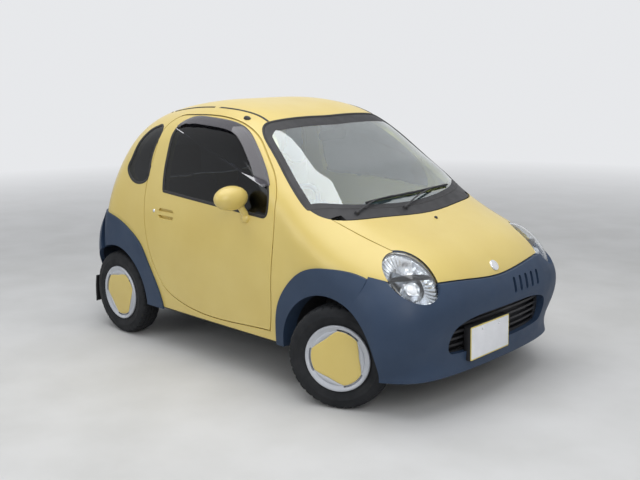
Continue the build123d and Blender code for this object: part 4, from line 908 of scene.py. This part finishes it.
def puffed(label, outline, half, voxel, cap, channels):
    """A pair of pads, puffed up from a side outline in mm on the right and mirrored to the left.

    No place moves by more than cap; channels are (axis, place, width, depth) of sewn furrows.
    """
    points, faces = prism_points(smooth_line(outline, 5, closed=True), -SEAT_Y - half, -SEAT_Y + half)
    mesh = bpy.data.meshes.new("pad")
    mesh.from_pydata([Vector(p) / 1000 for p in points], [], faces)
    draft = bpy.data.objects.new("pad", mesh)
    bpy.context.scene.collection.objects.link(draft)
    grid = draft.modifiers.new("remesh", "REMESH")
    grid.mode = "VOXEL"
    grid.voxel_size = voxel / 1000
    mesh = shaped_mesh(draft)
    draft.modifiers.clear()
    draft.data = mesh
    before = [v.co.copy() for v in mesh.vertices]
    mesh = settled(draft)
    normals = [v.normal.copy() for v in mesh.vertices]
    for vertex, start, normal in zip(mesh.vertices, before, normals):
        move = vertex.co - start
        if move.length > cap / 1000:
            move *= cap / 1000 / move.length
        spot = start + move
        sink = 0.0
        for axis, at_mm, width, depth in channels:
            value = spot[axis] * 1000 + (SEAT_Y if axis == 1 else 0)
            sink = max(sink, depth * math.exp(-((value - at_mm) / width) ** 2))
        vertex.co = spot - normal * (sink / 1000)
    mesh.materials.clear()
    mesh.materials.append(cloth)
    mesh.polygons.foreach_set("use_smooth", [True] * len(mesh.polygons))
    other = mesh.copy()
    for vertex in other.vertices:
        vertex.co.y = -vertex.co.y
    other.flip_normals()
    bpy.data.objects.remove(draft)
    finished_pad(f"{label}_left", other)
    return finished_pad(f"{label}_right", mesh)


CUSHION = [(-92, 352), (-74, 414), (-110, 458), (-300, 452), (-480, 436), (-556, 420), (-570, 345),
           (-330, 336)]
BACK = [(-520, 402), (-578, 356), (-640, 404), (-716, 670), (-790, 935), (-770, 972), (-708, 974),
        (-676, 935), (-600, 670)]
HEAD = [(-722, 1000), (-712, 1080), (-735, 1150), (-792, 1155), (-804, 1020), (-776, 992)]
CHANNELS = [(1, -150, 7, 9), (1, 150, 7, 9)]
cushion = puffed("seat_cushion", CUSHION, 218, 10, 18, CHANNELS + [(0, -250, 6, 6), (0, -400, 6, 6)])
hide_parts("seats")
puffed("seat_back", BACK, 212, 10, 18, CHANNELS + [(2, 620, 6, 6), (2, 760, 6, 6)])
puffed("head_rest", HEAD, 112, 8, 12, [])
for side, sign in SIDES:
    slab(f"seat_base_{side}", 360, 84, 380, 30, at(-335, sign * SEAT_Y, 290), "chassis",
         cabin_grey, 12)
    for letter, offset in (("a", -55), ("b", 55)):
        y = sign * SEAT_Y + offset
        tube(f"head_post_{side}_{letter}", [(-742, y, 950), (-750, y, 1040)], 5.5, "chassis",
             chrome)
        slab(f"seat_rail_{side}_{letter}", 34, 22, 470, 5, at(-340, sign * SEAT_Y + offset * 2.6, 250),
             "chassis", casting, 2)


# Floor: it fades to the backdrop's tone far away, where only the camera sees it

BACKDROP = (0.80, 0.81, 0.83, 1)
floor_mat = material("studio floor", (0.62, 0.62, 0.61), 0.75)
finished(floor_mat, (0.60, 0.60, 0.59), (0.66, 0.66, 0.655), 2.0, (0.7, 0.85), 6.0, 220.0, 0.08)
tree = floor_mat.node_tree
coords = tree.nodes.new("ShaderNodeTexCoord")
reach = tree.nodes.new("ShaderNodeVectorMath")
reach.operation = "LENGTH"
tree.links.new(coords.outputs["Object"], reach.inputs[0])
far = add_node(tree, "ShaderNodeMapRange", From_Min=3.5, From_Max=10.0)
tree.links.new(reach.outputs["Value"], far.inputs["Value"])
seen = tree.nodes.new("ShaderNodeMath")
seen.operation = "MULTIPLY"
path = tree.nodes.new("ShaderNodeLightPath")
tree.links.new(path.outputs["Is Camera Ray"], seen.inputs[0])
tree.links.new(far.outputs["Result"], seen.inputs[1])
pale = add_node(tree, "ShaderNodeEmission", Color=BACKDROP)
mix_shaders(tree, seen.outputs[0], tree.nodes["Principled BSDF"].outputs["BSDF"], pale.outputs["Emission"],
            "Material Output")
floor_mesh = bpy.data.meshes.new("floor")
floor_mesh.from_pydata([(-40, -40, 0), (40, -40, 0), (40, 40, 0), (-40, 40, 0)], [], [(0, 1, 2, 3)])
floor_mesh.materials.append(floor_mat)
floor = bpy.data.objects.new("floor", floor_mesh)
bpy.context.scene.collection.objects.link(floor)


# Lights and world: a soft sky for light, the plain pale backdrop for the camera, gloss and glass

def area_light(name, place, target, size, power, colour=(1, 1, 1)):
    data = bpy.data.lights.new(name, "AREA")
    data.shape = "RECTANGLE"
    data.size, data.size_y = size
    data.energy = power
    data.color = colour
    light = bpy.data.objects.new(name, data)
    light.location = place
    light.rotation_euler = (Vector(target) - Vector(place)).to_track_quat("-Z", "Y").to_euler()
    bpy.context.scene.collection.objects.link(light)


area_light("overhead", (0.4, -0.6, 5.2), (0, 0, 0.6), (5.5, 5.0), 185)
area_light("key", (5.0, -3.4, 3.6), (0.2, -0.2, 0.6), (3.0, 2.4), 105)
area_light("side", (-2.0, -5.5, 2.8), (-0.2, 0, 0.6), (4.0, 2.0), 43, (0.96, 0.98, 1.0))

world = bpy.data.worlds.new("studio")
bpy.context.scene.world = world
world.use_nodes = True
tree = world.node_tree
background = tree.nodes["Background"]
background.inputs["Strength"].default_value = 0.42
coords = tree.nodes.new("ShaderNodeTexCoord")
split = tree.nodes.new("ShaderNodeSeparateXYZ")
ramp = two_tones(tree, 0.0, (0.42, 0.43, 0.45), 0.7, (0.92, 0.95, 1.0))
tree.links.new(coords.outputs["Generated"], split.inputs["Vector"])
tree.links.new(split.outputs["Z"], ramp.inputs["Fac"])
tree.links.new(ramp.outputs["Color"], background.inputs["Color"])
backdrop = add_node(tree, "ShaderNodeBackground", Color=BACKDROP, Strength=1.0)
path = tree.nodes.new("ShaderNodeLightPath")
direct = path.outputs["Is Camera Ray"]
for kind in ("Is Glossy Ray", "Is Transmission Ray"):
    either = tree.nodes.new("ShaderNodeMath")
    either.operation = "MAXIMUM"
    tree.links.new(direct, either.inputs[0])
    tree.links.new(path.outputs[kind], either.inputs[1])
    direct = either.outputs[0]
mix_shaders(tree, direct, background.outputs["Background"], backdrop.outputs["Background"], "World Output")


# Camera at the photograph's place, fitted to the wheels, lamps, mouth and windscreen

FOCAL_PIXELS, IMAGE_WIDTH = 872.3, 640
CAMERA_PLACE = (3.6217, -3.6166, 1.6601)

scene = bpy.context.scene
scene.view_settings.view_transform = "Standard"
yaw, pitch, roll = math.radians(134.27), math.radians(-11.566), math.radians(-0.646)
ahead = Vector((math.cos(pitch) * math.cos(yaw), math.cos(pitch) * math.sin(yaw), math.sin(pitch)))
right = ahead.cross(Vector((0, 0, 1))).normalized()
up = right.cross(ahead)
right, up = right * math.cos(roll) + up * math.sin(roll), up * math.cos(roll) - right * math.sin(roll)
camera_data = bpy.data.cameras.new("camera")
camera_data.sensor_width = 36.0
camera_data.lens = FOCAL_PIXELS / IMAGE_WIDTH * camera_data.sensor_width
camera = bpy.data.objects.new("camera", camera_data)
scene.collection.objects.link(camera)
rows = [(right[i], up[i], -ahead[i], CAMERA_PLACE[i]) for i in range(3)]
camera.matrix_world = Matrix(rows + [(0, 0, 0, 1)])
scene.camera = camera
